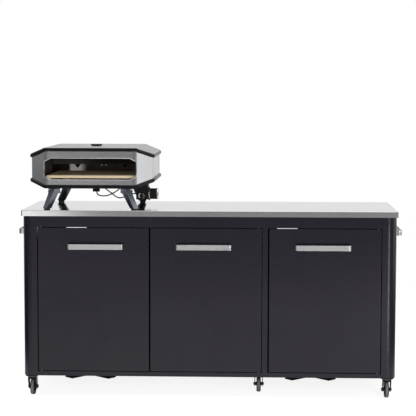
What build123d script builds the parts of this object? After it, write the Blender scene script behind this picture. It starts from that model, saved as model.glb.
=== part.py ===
"""Outdoor kitchen on casters with a portable gas pizza oven on its worktop, in millimetres.

The origin is on the floor under the middle of the whole object. +X runs along the worktop to the right,
the doors face -Y and +Z is up.
"""
import os
from math import sqrt

from build123d import *

os.makedirs("parts", exist_ok=True)

# Clearances
running_clearance = 0.05
rest_gap = 0.3
seat_gap = 0.05

# Worktop
worktop_length = 1800.0
worktop_depth = 600.0
worktop_height = 905.0
worktop_lip = 28.0
worktop_sheet = 2.0
worktop_corner_radius = 6.0
worktop_nose_radius = 2.5

# Cabinet frame and panels
side_overhang = 4.0
front_overhang = 8.0
floor_clearance = 103.0
sheet = 2.0
post_width = 71.0
post_radius = 45.0
post_wall = 3.0
frame_recess = 3.0
fascia_drop = 81.5
bottom_rail_height = 22.0
rail_depth = 30.0
mullion_width = 26.0
panel_fold = 18.0
partition_thickness = 20.0
hose_cutout_width = 105.0
hose_cutout_height = 60.0
hose_cutout_offset = 116.0
hose_cutout_drop = 138.0
hose_cutout_radius = 8.0

# Gas bottle trays
tray_half_width = 124.0
tray_length = 300.0
tray_low = 61.0
tray_shoulder = 69.0
tray_ridge = 80.0
tray_rib_offset = 89.0
tray_flange = 12.0
tray_left_x = -588.0
tray_right_x = 493.0

# Doors and their pivots
door_gap = 3.0
door_free_gap = 6.5
door_top_gap = 4.0
door_thickness = 19.0
door_lip = 15.0
door_edge_radius = 1.5
pivot_inset = 14.0
pivot_depth = 7.0
pivot_block_width = 26.0
pivot_block_height = 20.0
pin_radius = 3.0
pin_engagement = 16.0
pin_head_radius = 5.0
pin_head_height = 3.0
catch_width = 24.0
catch_depth = 16.0
catch_height = 18.0
catch_boss_radius = 4.0
catch_inset = 8.0

# Strap handles and towel rails
strap_height = 25.5
strap_thickness = 5.0
strap_standoff = 34.0
strap_bend_radius = 9.0
door_handle_length = 268.0
door_handle_drop = 160.5
door_handle_shift = 11.0
towel_rail_length = 400.0
towel_rail_drop = 97.0

# Casters
caster_side_inset = 39.0
caster_front_inset = 37.0
caster_rear_inset = 59.0
caster_middle_inset = 145.0
caster_middle_shift = 28.5
caster_trail = 22.0
caster_plate_size = 64.0
caster_plate_radius = 20.0
caster_plate_thickness = 4.0
raceway_radius = 23.0
raceway_height = 8.0
kingpin_radius = 5.0
kingpin_head_radius = 8.0
kingpin_head_height = 3.0
crown_thickness = 8.0
crown_front = 22.0
crown_rear = 20.0
fork_inner_half = 16.5
fork_plate = 4.0
fork_end_radius = 12.0
wheel_radius = 39.5
tyre_width = 21.0
tyre_round = 6.0
rim_radius = 28.5
rim_width = 18.0
rim_wall = 4.0
web_width = 6.0
boss_radius = 9.0
axle_radius = 4.0
axle_nut_radius = 7.0
axle_nut_height = 4.0
cross_member_width = 76.0

# Pizza oven body
oven_x = -568.5
oven_setback = 5.0
oven_depth = 567.0
oven_half_width = 302.0
oven_height = 298.0
oven_fold_half = 221.0
oven_facet_depth = 100.0
oven_bend_radius = 38.0
oven_corner_radius = 14.0
roof_drop = 33.0
base_height = 104.0
base_rise = 27.0
trim_height = 17.0
trim_width = 8.0
trim_rebate = 3.0
oven_sheet = 2.0
front_panel_return = 12.0
mouth_half_width = 221.5
mouth_low = 144.5
mouth_high = 249.0
mouth_chamfer_x = 32.0
mouth_chamfer_z = 17.0
jamb_depth = 40.0

# Pizza oven inside
liner_half_width = 252.0
liner_low = 131.0
liner_high = 262.0
liner_rear_gap = 52.0
stone_size = 430.0
stone_low = 151.0
stone_thickness = 13.0
stone_setback = 52.0
stone_rib_offset = 120.0
stone_rib_width = 20.0
shield_setback = 490.0
shield_notch_offset = 121.0
shield_notch_low = 176.0
shield_high = 197.0
shield_notch_half = 17.0
burner_radius = 7.0
burner_flange_radius = 9.5
burner_flange_height = 3.0
burner_setback = 503.0
burner_height = 185.0
burner_port_radius = 1.5
burner_port_pitch = 40.0
burner_port_count = 11
thermometer_radius = 28.0
thermometer_neck_radius = 22.0
thermometer_height = 10.0
thermometer_neck_height = 3.0
thermometer_dish = 1.5
thermometer_rim = 3.0

# Pizza oven legs
leg_pivot_x = 174.0
leg_top_x = 168.0
leg_foot_x = 209.5
leg_front_inset = 20.0
leg_rear_inset = 44.0
leg_pivot_height = 88.0
leg_top_gap = 1.5
leg_half_top = 25.6
leg_half_foot = 20.4
leg_ridge_top = 21.0
leg_ridge_foot = 18.0
leg_back_top = -11.5
leg_back_foot = 6.0
leg_wall = 4.0
leg_web_half = 12.0
leg_web_reach = 13.5
knuckle_radius = 8.0
knuckle_half = 24.0
ear_plate = 3.0
ear_radius = 6.0
leg_pin_radius = 3.0
bracket_plate = 3.0
pad_half_width = 13.5
pad_half_depth = 14.0
pad_height = 8.0

# Gas box, knob, button, igniter and leads
gas_box_inner = 194.0
gas_box_outer = 253.0
gas_box_low = 30.0
gas_box_setback = 307.0
gas_box_depth = 85.0
knob_setback = 42.0
knob_height = 57.0
knob_radius = 27.0
knob_flange_radius = 33.0
knob_flange_height = 8.0
knob_length = 48.5
knob_flute_count = 12
knob_flute_radius = 4.0
knob_edge_radius = 3.0
knob_shaft_radius = 4.0
knob_shaft_length = 12.0
button_x = 221.0
button_height = 49.0
button_radius = 8.5
button_length = 16.0
button_stand = 7.0
bezel_radius = 15.5
bezel_height = 4.0
hose_tail_radius = 5.0
hose_tail_length = 34.0
hose_tail_x = 224.0
hose_tail_height = 60.0
hose_nut_radius = 9.0
hose_nut_height = 8.0
igniter_low_x = -24.0
igniter_high_x = 10.0
igniter_low = 68.0
igniter_half_depth = 12.0
igniter_edge_radius = 3.0
igniter_setback = 327.0
clip_radius = 8.0
lead_radius = 3.0
lead_spread = 4.0
lead_arc_share = 0.45

# Places that follow from the sizes above
mid_y = (strap_standoff - frame_recess - front_overhang) / 2
worktop_front = mid_y - worktop_depth / 2
worktop_rear = mid_y + worktop_depth / 2
cabinet_half = worktop_length / 2 - side_overhang
cabinet_front = worktop_front + front_overhang
cabinet_rear = worktop_rear - front_overhang
cabinet_top = worktop_height - worktop_sheet
frame_front = cabinet_front + frame_recess
frame_rear = cabinet_rear - frame_recess
opening_half = cabinet_half - post_width
rail_low = worktop_height - fascia_drop
floor_top = floor_clearance + bottom_rail_height
door_width = (2 * opening_half - mullion_width - 3 * door_gap - 2 * door_free_gap) / 3
door_low = floor_top + door_gap
door_top = rail_low - door_top_gap
door_back = frame_front + door_thickness
mullion_left = 2 * door_gap + door_free_gap + 2 * door_width - opening_half
mullion_centre = mullion_left + mullion_width / 2
pivot_y = frame_front + pivot_depth
oven_front = worktop_front + oven_setback
oven_rear = oven_front + oven_depth
side_inner = cabinet_half - frame_recess - panel_fold
gas_box_front = oven_front + gas_box_setback
gas_box_rear = gas_box_front + gas_box_depth
knob_y = gas_box_front + knob_setback
igniter_y = oven_front + igniter_setback

door_edges = {
    "left": door_gap - opening_half,
    "middle": door_gap + door_free_gap + door_width - opening_half,
    "right": mullion_left + mullion_width + door_free_gap,
}
hinge_sides = {"left": -1, "middle": 1, "right": 1}
pivots = {
    name: edge + door_width / 2 + hinge_sides[name] * (door_width / 2 - pivot_inset)
    for name, edge in door_edges.items()
}
free_edges = {
    name: edge + door_width / 2 - hinge_sides[name] * door_width / 2
    for name, edge in door_edges.items()
}

caster_x = cabinet_half - caster_side_inset
caster_middle_x = mullion_centre - caster_middle_shift
caster_spots = {
    "front_left": (-caster_x, cabinet_front + caster_front_inset),
    "front_middle": (caster_middle_x, cabinet_front + caster_middle_inset),
    "front_right": (caster_x, cabinet_front + caster_front_inset),
    "rear_left": (-caster_x, cabinet_rear - caster_rear_inset),
    "rear_middle": (caster_middle_x, cabinet_rear - caster_middle_inset),
    "rear_right": (caster_x, cabinet_rear - caster_rear_inset),
}

# Points of the two leads across the oven and above the worktop, each in an upright plane of its own
igniter_route = [
    (-4, igniter_low),
    (-4, 60),
    (3, 51),
    (16, 47),
    (32, 46),
    (49, 48),
    (65, 54),
    (79, 61),
    (92, 69),
    (104, 77),
    (112, 86),
    (112, 96),
]
valve_route = [
    (36, 96),
    (36, 86),
    (44, 78),
    (58, 68),
    (73, 57),
    (86, 46),
    (99, 38),
    (113, 36),
    (128, 39),
    (143, 45),
    (159, 53),
    (176, 58),
    (gas_box_inner, 58),
]
lead_planes = (igniter_y - lead_spread, igniter_y + lead_spread)


def save(piece, node):
    """Labels a finished piece with its node's name and writes it."""
    piece.part.label = node
    export_step(piece.part, f"parts/{node}.step")


def block(x_span, y_span, z_span, mode=Mode.ADD):
    """Adds a box between low and high values to the part that is being built, or cuts it away."""
    spans = (x_span, y_span, z_span)
    with Locations(tuple((low + high) / 2 for low, high in spans)):
        Box(*(high - low for low, high in spans), mode=mode)


def rod(start, radius, height, mode=Mode.ADD, rotation=(0, 0, 0)):
    """Adds a cylinder that rises from start along Z, or along the turned axis."""
    with Locations(Location(start, rotation)):
        Cylinder(radius, height, align=(Align.CENTER, Align.CENTER, Align.MIN), mode=mode)


ALONG_X = (0, 90, 0)
ALONG_Y = (-90, 0, 0)


def build_worktop():
    """Stainless pan with a rounded nose, open underneath."""
    with BuildPart() as worktop:
        with BuildSketch(Plane.XY.offset(worktop_height - worktop_lip)):
            with Locations((0, mid_y)):
                RectangleRounded(worktop_length, worktop_depth, worktop_corner_radius)
        extrude(amount=worktop_lip)
        fillet(worktop.edges().group_by(Axis.Z)[-1], worktop_nose_radius)
        inner_length = worktop_length - 2 * worktop_sheet
        inner_depth = worktop_depth - 2 * worktop_sheet
        inner_radius = max(worktop_corner_radius - worktop_sheet, worktop_sheet)
        with BuildSketch(Plane.XY.offset(worktop_height - worktop_lip)):
            with Locations((0, mid_y)):
                RectangleRounded(inner_length, inner_depth, inner_radius)
        extrude(amount=worktop_lip - worktop_sheet, mode=Mode.SUBTRACT)
    save(worktop, "worktop")


def build_post(node, side, face):
    """Hollow corner post with a large outer radius and a closed foot."""
    centre_x = side * (cabinet_half - post_width / 2)
    centre_y = cabinet_front + post_width / 2 if face < 0 else cabinet_rear - post_width / 2
    with BuildPart() as post:
        with BuildSketch(Plane.XY.offset(floor_clearance)) as outline:
            with Locations((centre_x, centre_y)):
                Rectangle(post_width, post_width)
            corner = outline.vertices().sort_by(lambda vertex: side * vertex.X + face * vertex.Y)[-1]
            fillet(corner, post_radius)
        extrude(amount=cabinet_top - floor_clearance)
        offset(amount=-post_wall, openings=post.faces().sort_by(Axis.Z)[-1])
    save(post, node)


def channel(web_y, face, low, high):
    """Adds a folded channel between the posts, its web on web_y and its flanges running inwards."""
    depth = -face * rail_depth
    wall = -face * sheet
    block((-opening_half, opening_half), sorted((web_y, web_y + depth)), (low, high))
    block(
        (-opening_half, opening_half),
        sorted((web_y + wall, web_y + depth)),
        (low + sheet, high - sheet),
        Mode.SUBTRACT,
    )


def build_rails():
    """Front rails with the holes for the door pivots, and the pair of rear rails."""
    with BuildPart() as top:
        channel(frame_front, -1, rail_low, cabinet_top)
        for x in pivots.values():
            rod((x, pivot_y, rail_low), pin_radius + running_clearance, sheet, Mode.SUBTRACT)
    save(top, "rail_front_top")
    with BuildPart() as bottom:
        channel(frame_front, -1, floor_clearance, floor_top)
        for x in pivots.values():
            rod((x, pivot_y, floor_top - sheet), pin_radius + running_clearance, sheet, Mode.SUBTRACT)
    save(bottom, "rail_front_bottom")
    with BuildPart() as rear:
        channel(frame_rear, 1, rail_low, cabinet_top)
        channel(frame_rear, 1, floor_clearance, floor_top)
    save(rear, "rails_rear")


def build_mullion():
    """Folded upright between the double bay and the single bay."""
    span_x = (mullion_left, mullion_left + mullion_width)
    with BuildPart() as mullion:
        block(span_x, (frame_front, frame_front + rail_depth), (floor_top, rail_low))
        block(
            (span_x[0] + sheet, span_x[1] - sheet),
            (frame_front + sheet, frame_front + rail_depth),
            (floor_top, rail_low),
            Mode.SUBTRACT,
        )
    save(mullion, "mullion")


def build_side_panel(node, side):
    """Sheet panel between two posts, its four edges folded inwards."""
    outer = side * (cabinet_half - frame_recess)
    y_span = (cabinet_front + post_width, cabinet_rear - post_width)
    with BuildPart() as panel:
        block(sorted((outer, outer - side * panel_fold)), y_span, (floor_clearance, cabinet_top))
        block(
            sorted((outer - side * sheet, outer - side * panel_fold)),
            (y_span[0] + sheet, y_span[1] - sheet),
            (floor_clearance + sheet, cabinet_top - sheet),
            Mode.SUBTRACT,
        )
    save(panel, node)


def build_back_panel(node, low_x, high_x):
    """Back sheet of one bay with folded edges and a rounded cut-out for the gas hose."""
    with BuildPart() as panel:
        block((low_x, high_x), (frame_rear - panel_fold, frame_rear), (floor_top, rail_low))
        block(
            (low_x + sheet, high_x - sheet),
            (frame_rear - panel_fold, frame_rear - sheet),
            (floor_top + sheet, rail_low - sheet),
            Mode.SUBTRACT,
        )
        with BuildSketch(Plane.XZ.offset(-frame_rear)):
            with Locations((low_x + hose_cutout_offset, worktop_height - hose_cutout_drop)):
                RectangleRounded(hose_cutout_width, hose_cutout_height, hose_cutout_radius)
        extrude(amount=sheet, mode=Mode.SUBTRACT)
    save(panel, node)


def build_partition():
    """Folded wall between the two bays, from the mullion to the back panels."""
    low_x = mullion_centre - partition_thickness / 2
    high_x = mullion_centre + partition_thickness / 2
    y_span = (frame_front + rail_depth, frame_rear - panel_fold)
    with BuildPart() as partition:
        block((low_x, high_x), y_span, (floor_top, rail_low))
        block(
            (low_x + sheet, high_x),
            (y_span[0] + sheet, y_span[1] - sheet),
            (floor_top + sheet, rail_low - sheet),
            Mode.SUBTRACT,
        )
    save(partition, "partition")


def build_floor():
    """Floor sheet with edges folded down, notched round the posts and cut out for the bottle trays."""
    depth = frame_rear - frame_front - 2 * rail_depth
    depth_between_posts = cabinet_rear - cabinet_front - 2 * post_width
    with BuildPart() as floor:
        with BuildSketch(Plane.XY.offset(floor_clearance)):
            with Locations((0, mid_y)):
                Rectangle(2 * opening_half, depth)
                Rectangle(2 * side_inner, depth_between_posts)
        extrude(amount=bottom_rail_height)
        with BuildSketch(Plane.XY.offset(floor_clearance)):
            with Locations((0, mid_y)):
                Rectangle(2 * opening_half, depth)
                Rectangle(2 * side_inner, depth_between_posts)
            offset(amount=-sheet, kind=Kind.INTERSECTION, mode=Mode.REPLACE)
        extrude(amount=bottom_rail_height - sheet, mode=Mode.SUBTRACT)
        for x in (tray_left_x, tray_right_x):
            block(
                (x - tray_half_width - seat_gap, x + tray_half_width + seat_gap),
                (mid_y - tray_length / 2 - seat_gap, mid_y + tray_length / 2 + seat_gap),
                (floor_top - sheet, floor_top),
                Mode.SUBTRACT,
            )
    save(floor, "floor_panel")


def build_cross_member():
    """Box section under the floor that carries the two middle casters."""
    reach = (frame_rear - frame_front) / 2 - rail_depth - sheet
    x_span = (caster_middle_x - cross_member_width / 2, caster_middle_x + cross_member_width / 2)
    with BuildPart() as member:
        block(x_span, (mid_y - reach, mid_y + reach), (floor_clearance, floor_top - sheet))
        block(
            (x_span[0] + sheet, x_span[1] - sheet),
            (mid_y - reach, mid_y + reach),
            (floor_clearance + sheet, floor_top - 2 * sheet),
            Mode.SUBTRACT,
        )
    save(member, "floor_cross_member")


def tray_section(wall):
    """Outline of a bottle tray across its two ribs, moved inwards by a wall."""
    side = tray_half_width - wall
    return [
        (-side, floor_top),
        (-side, tray_shoulder + wall),
        (-tray_rib_offset, tray_low + wall),
        (0, tray_ridge + wall),
        (tray_rib_offset, tray_low + wall),
        (side, tray_shoulder + wall),
        (side, floor_top),
    ]


def build_trays():
    """Two drop-in bottle trays, each a deep pan with two ribs across its bottom and a flange on the floor."""
    rear = mid_y + tray_length / 2
    with BuildPart() as trays:
        for x in (tray_left_x, tray_right_x):
            with BuildSketch(Plane(origin=(x, rear, 0), x_dir=(1, 0, 0), z_dir=(0, -1, 0))):
                with BuildLine():
                    Polyline(*tray_section(0), close=True)
                make_face()
            extrude(amount=tray_length)
            block(
                (x - tray_half_width - tray_flange, x + tray_half_width + tray_flange),
                (mid_y - tray_length / 2 - tray_flange, rear + tray_flange),
                (floor_top, floor_top + sheet),
            )
        for x in (tray_left_x, tray_right_x):
            with BuildSketch(Plane(origin=(x, rear - sheet, 0), x_dir=(1, 0, 0), z_dir=(0, -1, 0))):
                with BuildLine():
                    Polyline(*tray_section(sheet), close=True)
                make_face()
            extrude(amount=tray_length - 2 * sheet, mode=Mode.SUBTRACT)
            block(
                (x - tray_half_width + sheet, x + tray_half_width - sheet),
                (mid_y - tray_length / 2 + sheet, rear - sheet),
                (floor_top, floor_top + sheet),
                Mode.SUBTRACT,
            )
    save(trays, "bottle_trays")


def strap_path(length):
    """Corner points of the middle line of a strap that stands off its base by its two bent ends."""
    half = (length - strap_thickness) / 2
    front = strap_standoff - strap_thickness / 2
    return [(-half, 0), (-half, front), (half, front), (half, 0)]


def build_door_handle(name):
    """Flat strap with bent ends on a door, a little nearer to its free edge."""
    low = worktop_height - door_handle_drop - strap_height
    middle = door_edges[name] + door_width / 2 - hinge_sides[name] * door_handle_shift
    base = (middle, frame_front, low)
    with BuildPart() as handle:
        with BuildSketch(Plane(origin=base, x_dir=(-1, 0, 0), z_dir=(0, 0, 1))):
            with BuildLine():
                FilletPolyline(*strap_path(door_handle_length), radius=strap_bend_radius)
            trace(line_width=strap_thickness)
        extrude(amount=strap_height)
    save(handle, f"handle_{name}")


def build_towel_rails():
    """One strap along each side of the cabinet."""
    low = worktop_height - towel_rail_drop - strap_height
    base = cabinet_half - frame_recess
    with BuildPart() as rails:
        for side in (-1, 1):
            with BuildSketch(Plane(origin=(side * base, mid_y, low), x_dir=(0, -side, 0), z_dir=(0, 0, 1))):
                with BuildLine():
                    FilletPolyline(*strap_path(towel_rail_length), radius=strap_bend_radius)
                trace(line_width=strap_thickness)
            extrude(amount=strap_height)
    save(rails, "towel_rails")


def build_door(name):
    """Folded door pan with a lip round its open back and a bored block at each pivot."""
    low_x = door_edges[name]
    high_x = low_x + door_width
    side = hinge_sides[name]
    hinge_edge = low_x if side < 0 else high_x
    with BuildPart() as door:
        block((low_x, high_x), (frame_front, door_back), (door_low, door_top))
        fillet(door.faces().sort_by(Axis.Y)[0].edges(), door_edge_radius)
        block(
            (low_x + sheet, high_x - sheet),
            (frame_front + sheet, door_back - sheet),
            (door_low + sheet, door_top - sheet),
            Mode.SUBTRACT,
        )
        block(
            (low_x + door_lip, high_x - door_lip),
            (door_back - sheet, door_back),
            (door_low + door_lip, door_top - door_lip),
            Mode.SUBTRACT,
        )
        lower_block = (door_low + sheet, door_low + pivot_block_height)
        upper_block = (door_top - pivot_block_height, door_top - sheet)
        for z_span in (lower_block, upper_block):
            block(
                sorted((hinge_edge - side * sheet, hinge_edge - side * pivot_block_width)),
                (frame_front + sheet, door_back - sheet),
                z_span,
            )
        bore = pin_radius + running_clearance
        bore_depth = pin_engagement + rest_gap
        rod((pivots[name], pivot_y, door_low), bore, bore_depth, Mode.SUBTRACT)
        rod((pivots[name], pivot_y, door_top - bore_depth), bore, bore_depth, Mode.SUBTRACT)
    save(door, f"door_{name}")


def build_hinge_pins():
    """Headed pivot pins in the rails' flanges; the lower ones have a collar that carries the door."""
    with BuildPart() as pins:
        for x in pivots.values():
            pin_low = door_top - pin_engagement
            rod((x, pivot_y, pin_low), pin_radius, rail_low + sheet - pin_low)
            rod((x, pivot_y, rail_low + sheet), pin_head_radius, pin_head_height)
            foot = floor_top - sheet
            rod((x, pivot_y, foot), pin_radius, door_low + pin_engagement - foot)
            rod((x, pivot_y, foot - pin_head_height), pin_head_radius, pin_head_height)
            rod((x, pivot_y, floor_top), pin_head_radius, door_gap - rest_gap)
    save(pins, "hinge_pins")


def build_catches():
    """Magnetic catches under the top rail, behind the free edge of each door."""
    with BuildPart() as catches:
        for name, edge in free_edges.items():
            near = edge + hinge_sides[name] * catch_inset
            far = near + hinge_sides[name] * catch_width
            face = door_back + rest_gap
            low = rail_low - catch_height
            block(sorted((near, far)), (face, face + catch_depth), (low, rail_low))
            rod(((near + far) / 2, face + catch_depth, low), catch_boss_radius, catch_height)
    save(catches, "door_catches")


raceway_low = floor_clearance - caster_plate_thickness - raceway_height
crown_top = raceway_low - rest_gap
crown_low = crown_top - crown_thickness
kingpin_low = crown_low - rest_gap - kingpin_head_height
fork_outer_half = fork_inner_half + fork_plate


def build_caster_plates():
    """Six mounting plates, each with its raceway cup and a headed kingpin."""
    with BuildPart() as plates:
        with BuildSketch(Plane.XY.offset(floor_clearance - caster_plate_thickness)):
            with Locations(*caster_spots.values()):
                RectangleRounded(caster_plate_size, caster_plate_size, caster_plate_radius)
        extrude(amount=caster_plate_thickness)
        for x, y in caster_spots.values():
            rod((x, y, raceway_low), raceway_radius, raceway_height)
            rod((x, y, kingpin_low), kingpin_radius, raceway_low - kingpin_low)
            rod((x, y, kingpin_low), kingpin_head_radius, kingpin_head_height)
    save(plates, "caster_plates")


def build_fork(name):
    """Trailing caster fork with its axle bolt, which has a head and a nut outside the two legs."""
    x, y = caster_spots[name]
    axle_y = y + caster_trail
    with BuildPart() as fork:
        with BuildSketch(Plane.YZ.offset(x - fork_outer_half)):
            with Locations((axle_y, wheel_radius)):
                Circle(fork_end_radius)
            with Locations((y + (crown_rear - crown_front) / 2, crown_low + crown_thickness / 2)):
                Rectangle(crown_front + crown_rear, crown_thickness)
            make_hull()
        extrude(amount=2 * fork_outer_half)
        block(
            (x - fork_inner_half, x + fork_inner_half),
            (y - crown_front - crown_rear, axle_y + wheel_radius),
            (0, crown_low),
            Mode.SUBTRACT,
        )
        fillet(fork.edges().filter_by(Axis.Z).group_by(Axis.Y)[0], fork_plate)
        rod((x, y, crown_low), kingpin_radius + running_clearance, crown_thickness, Mode.SUBTRACT)
        rod((x - fork_outer_half, axle_y, wheel_radius), axle_radius + seat_gap, 2 * fork_outer_half,
            Mode.SUBTRACT, ALONG_X)
        shank = fork_outer_half + seat_gap
        rod((x - shank, axle_y, wheel_radius), axle_radius, 2 * shank, rotation=ALONG_X)
        for nut_x in (x - shank - axle_nut_height, x + shank):
            rod((nut_x, axle_y, wheel_radius), axle_nut_radius, axle_nut_height, rotation=ALONG_X)
    save(fork, f"caster_fork_{name}")


def build_wheel(name):
    """Caster wheel: a tyre with rounded shoulders on a dished hub."""
    x, y = caster_spots[name]
    centre = Plane(origin=(x, y + caster_trail, wheel_radius), x_dir=(1, 0, 0), z_dir=(0, -1, 0))
    axle = Axis(centre.origin, (1, 0, 0))
    boss_half = fork_inner_half - rest_gap
    bore = axle_radius + running_clearance
    half_hub = [
        (boss_half, bore),
        (boss_half, boss_radius),
        (web_width / 2, boss_radius),
        (web_width / 2, rim_radius - rim_wall),
        (rim_width / 2, rim_radius - rim_wall),
        (rim_width / 2, rim_radius),
    ]
    with BuildPart() as wheel:
        with BuildSketch(centre) as tread:
            with Locations((0, (rim_radius + seat_gap + wheel_radius) / 2)):
                Rectangle(tyre_width, wheel_radius - rim_radius - seat_gap)
            fillet(tread.vertices().group_by(Axis.Y)[-1], tyre_round)
        revolve(axis=axle)
        with BuildSketch(centre):
            with BuildLine():
                Polyline(*half_hub, *((-px, py) for px, py in reversed(half_hub)), close=True)
            make_face()
        revolve(axis=axle)
    save(wheel, f"caster_wheel_{name}")


def elevation(y):
    """Upright plane across the oven at y, measured from its middle and the worktop."""
    return Plane(origin=(oven_x, y, worktop_height), x_dir=(1, 0, 0), z_dir=(0, -1, 0))


reach = oven_half_width + trim_width
slope_run = oven_half_width - oven_fold_half


def roof_line(drop):
    """Points of the folded roof across the oven, lowered by drop."""
    low = oven_height - roof_drop * (reach - oven_fold_half) / slope_run - drop
    high = oven_height - drop
    return [(-reach, low), (-oven_fold_half, high), (oven_fold_half, high), (reach, low)]


def base_line(lift):
    """Points of the folded base across the oven, raised by lift."""
    high = base_height + base_rise * (reach - oven_fold_half) / slope_run + lift
    low = base_height + lift
    return [(-reach, high), (-oven_fold_half, low), (oven_fold_half, low), (reach, high)]


def oven_slice(lower, upper, inset):
    """Solid between two lines across the oven, cut to the plan outline moved inwards by inset."""
    facet = oven_front + oven_facet_depth
    outline = [
        (-oven_fold_half, oven_front),
        (oven_fold_half, oven_front),
        (oven_half_width, facet),
        (oven_half_width, oven_rear),
        (-oven_half_width, oven_rear),
        (-oven_half_width, facet),
    ]
    with BuildPart() as piece:
        with BuildSketch(elevation(oven_rear)):
            with BuildLine():
                Polyline(*lower, *reversed(upper), close=True)
            make_face()
        extrude(amount=oven_depth)
        with BuildSketch(Plane(origin=(oven_x, 0, worktop_height))) as plan:
            with BuildLine():
                Polyline(*outline, close=True)
            make_face()
            fillet(plan.vertices().sort_by(Axis.Y)[:2], oven_bend_radius)
            fillet(
                [corner for corner in plan.vertices() if abs(corner.X) > oven_half_width - seat_gap],
                oven_corner_radius,
            )
            offset(amount=-inset, kind=Kind.INTERSECTION, mode=Mode.REPLACE)
        extrude(amount=oven_height + reach, mode=Mode.INTERSECT)
    return piece.part


def build_oven_roof():
    """Folded roof sheet that lies in the rebate of a black trim band."""
    with BuildPart() as roof:
        add(oven_slice(roof_line(oven_sheet), roof_line(0), trim_rebate))
    save(roof, "oven_roof")
    with BuildPart() as trim:
        over = roof_line(-oven_sheet)
        under = roof_line(trim_height + oven_sheet)
        add(oven_slice(roof_line(trim_height), roof_line(0), 0))
        add(oven_slice(under, over, trim_width), mode=Mode.SUBTRACT)
        add(oven_slice(roof_line(oven_sheet), over, trim_rebate), mode=Mode.SUBTRACT)
    save(trim, "oven_roof_trim")


def build_oven_base():
    """Black base tray whose rim stands round the foot of the walls, with a clip boss for each lead."""
    with BuildPart() as base:
        over = base_line(trim_height + oven_sheet)
        add(oven_slice(base_line(0), base_line(trim_height), 0))
        add(oven_slice(base_line(oven_sheet), over, trim_width), mode=Mode.SUBTRACT)
        for (x, low), y in zip((igniter_route[-1], valve_route[0]), lead_planes):
            rod((oven_x + x, y, worktop_height + low), clip_radius, base_height - low)
    save(base, "oven_base")


def mouth_outline():
    """Corner points of the oven's mouth with its four cut corners."""
    wide = mouth_half_width
    narrow = mouth_half_width - mouth_chamfer_x
    return [
        (-wide, mouth_low + mouth_chamfer_z),
        (-narrow, mouth_low),
        (narrow, mouth_low),
        (wide, mouth_low + mouth_chamfer_z),
        (wide, mouth_high - mouth_chamfer_z),
        (narrow, mouth_high),
        (-narrow, mouth_high),
        (-wide, mouth_high - mouth_chamfer_z),
    ]


wall_y = oven_front + trim_width
seam_y = oven_front + oven_facet_depth + front_panel_return


def oven_walls():
    """Upright sheet all round the oven, between the base tray and the roof sheet."""
    with BuildPart() as walls:
        add(oven_slice(base_line(oven_sheet), roof_line(oven_sheet), trim_width))
        add(oven_slice(base_line(0), roof_line(0), trim_width + oven_sheet), mode=Mode.SUBTRACT)
    return walls.part


def build_oven_walls():
    """Folded front with the mouth and its inward flange, and the shell of the sides and the back."""
    x_span = (oven_x - reach, oven_x + reach)
    z_span = (worktop_height, worktop_height + oven_height)
    with BuildPart() as jamb:
        with BuildSketch(elevation(wall_y + jamb_depth)):
            with BuildLine():
                Polyline(*mouth_outline(), close=True)
            make_face()
            offset(amount=-oven_sheet, kind=Kind.INTERSECTION, mode=Mode.SUBTRACT)
        extrude(amount=jamb_depth)
        add(oven_slice(base_line(0), roof_line(0), trim_width), mode=Mode.INTERSECT)
    with BuildPart() as front:
        add(oven_walls())
        block(x_span, (seam_y, oven_rear), z_span, Mode.SUBTRACT)
        with BuildSketch(elevation(wall_y + jamb_depth)):
            with BuildLine():
                Polyline(*mouth_outline(), close=True)
            make_face()
        extrude(amount=jamb_depth + trim_width, mode=Mode.SUBTRACT)
        add(jamb.part)
    save(front, "oven_front")
    with BuildPart() as shell:
        add(oven_walls())
        block(x_span, (oven_front, seam_y), z_span, Mode.SUBTRACT)
    save(shell, "oven_shell")


liner_front = wall_y + oven_sheet
liner_rear = oven_rear - liner_rear_gap


def build_oven_liner():
    """Chamber box open to the mouth, with two ribs that carry the stone."""
    floor = worktop_height + liner_low
    ceiling = worktop_height + liner_high
    left = oven_x - liner_half_width
    right = oven_x + liner_half_width
    with BuildPart() as liner:
        block((left, right), (liner_front, liner_rear), (floor, ceiling))
        block(
            (left + oven_sheet, right - oven_sheet),
            (liner_front, liner_rear - oven_sheet),
            (floor + oven_sheet, ceiling - oven_sheet),
            Mode.SUBTRACT,
        )
        for side in (-1, 1):
            x = oven_x + side * stone_rib_offset
            block(
                (x - stone_rib_width / 2, x + stone_rib_width / 2),
                (oven_front + stone_setback, oven_front + stone_setback + stone_size),
                (floor + oven_sheet, worktop_height + stone_low),
            )
        add(oven_slice(base_line(0), roof_line(0), trim_width + oven_sheet), mode=Mode.INTERSECT)
    save(liner, "oven_liner")


def build_stone():
    """Square baking stone on the ribs of the chamber, just behind the flange of the mouth."""
    low_y = oven_front + stone_setback
    low_z = worktop_height + stone_low
    with BuildPart() as stone:
        block(
            (oven_x - stone_size / 2, oven_x + stone_size / 2),
            (low_y, low_y + stone_size),
            (low_z, low_z + stone_thickness),
        )
        chamfer(stone.faces().sort_by(Axis.Z)[-1].edges(), oven_sheet)
    save(stone, "pizza_stone")


def build_heat_shield():
    """Low upright steel sheet behind the stone with two notches in its top edge for the flames."""
    y = oven_front + shield_setback
    half = liner_half_width - oven_sheet
    with BuildPart() as shield:
        block(
            (oven_x - half, oven_x + half),
            (y, y + oven_sheet),
            (worktop_height + liner_low + oven_sheet, worktop_height + shield_high),
        )
        with BuildSketch(elevation(y + oven_sheet)):
            for side in (-1, 1):
                notch = side * shield_notch_offset
                with BuildLine():
                    Polyline(
                        (notch - shield_notch_half, shield_high),
                        (notch, shield_notch_low),
                        (notch + shield_notch_half, shield_high),
                        close=True,
                    )
                make_face()
        extrude(amount=oven_sheet, mode=Mode.SUBTRACT)
    save(shield, "heat_shield")


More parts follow.
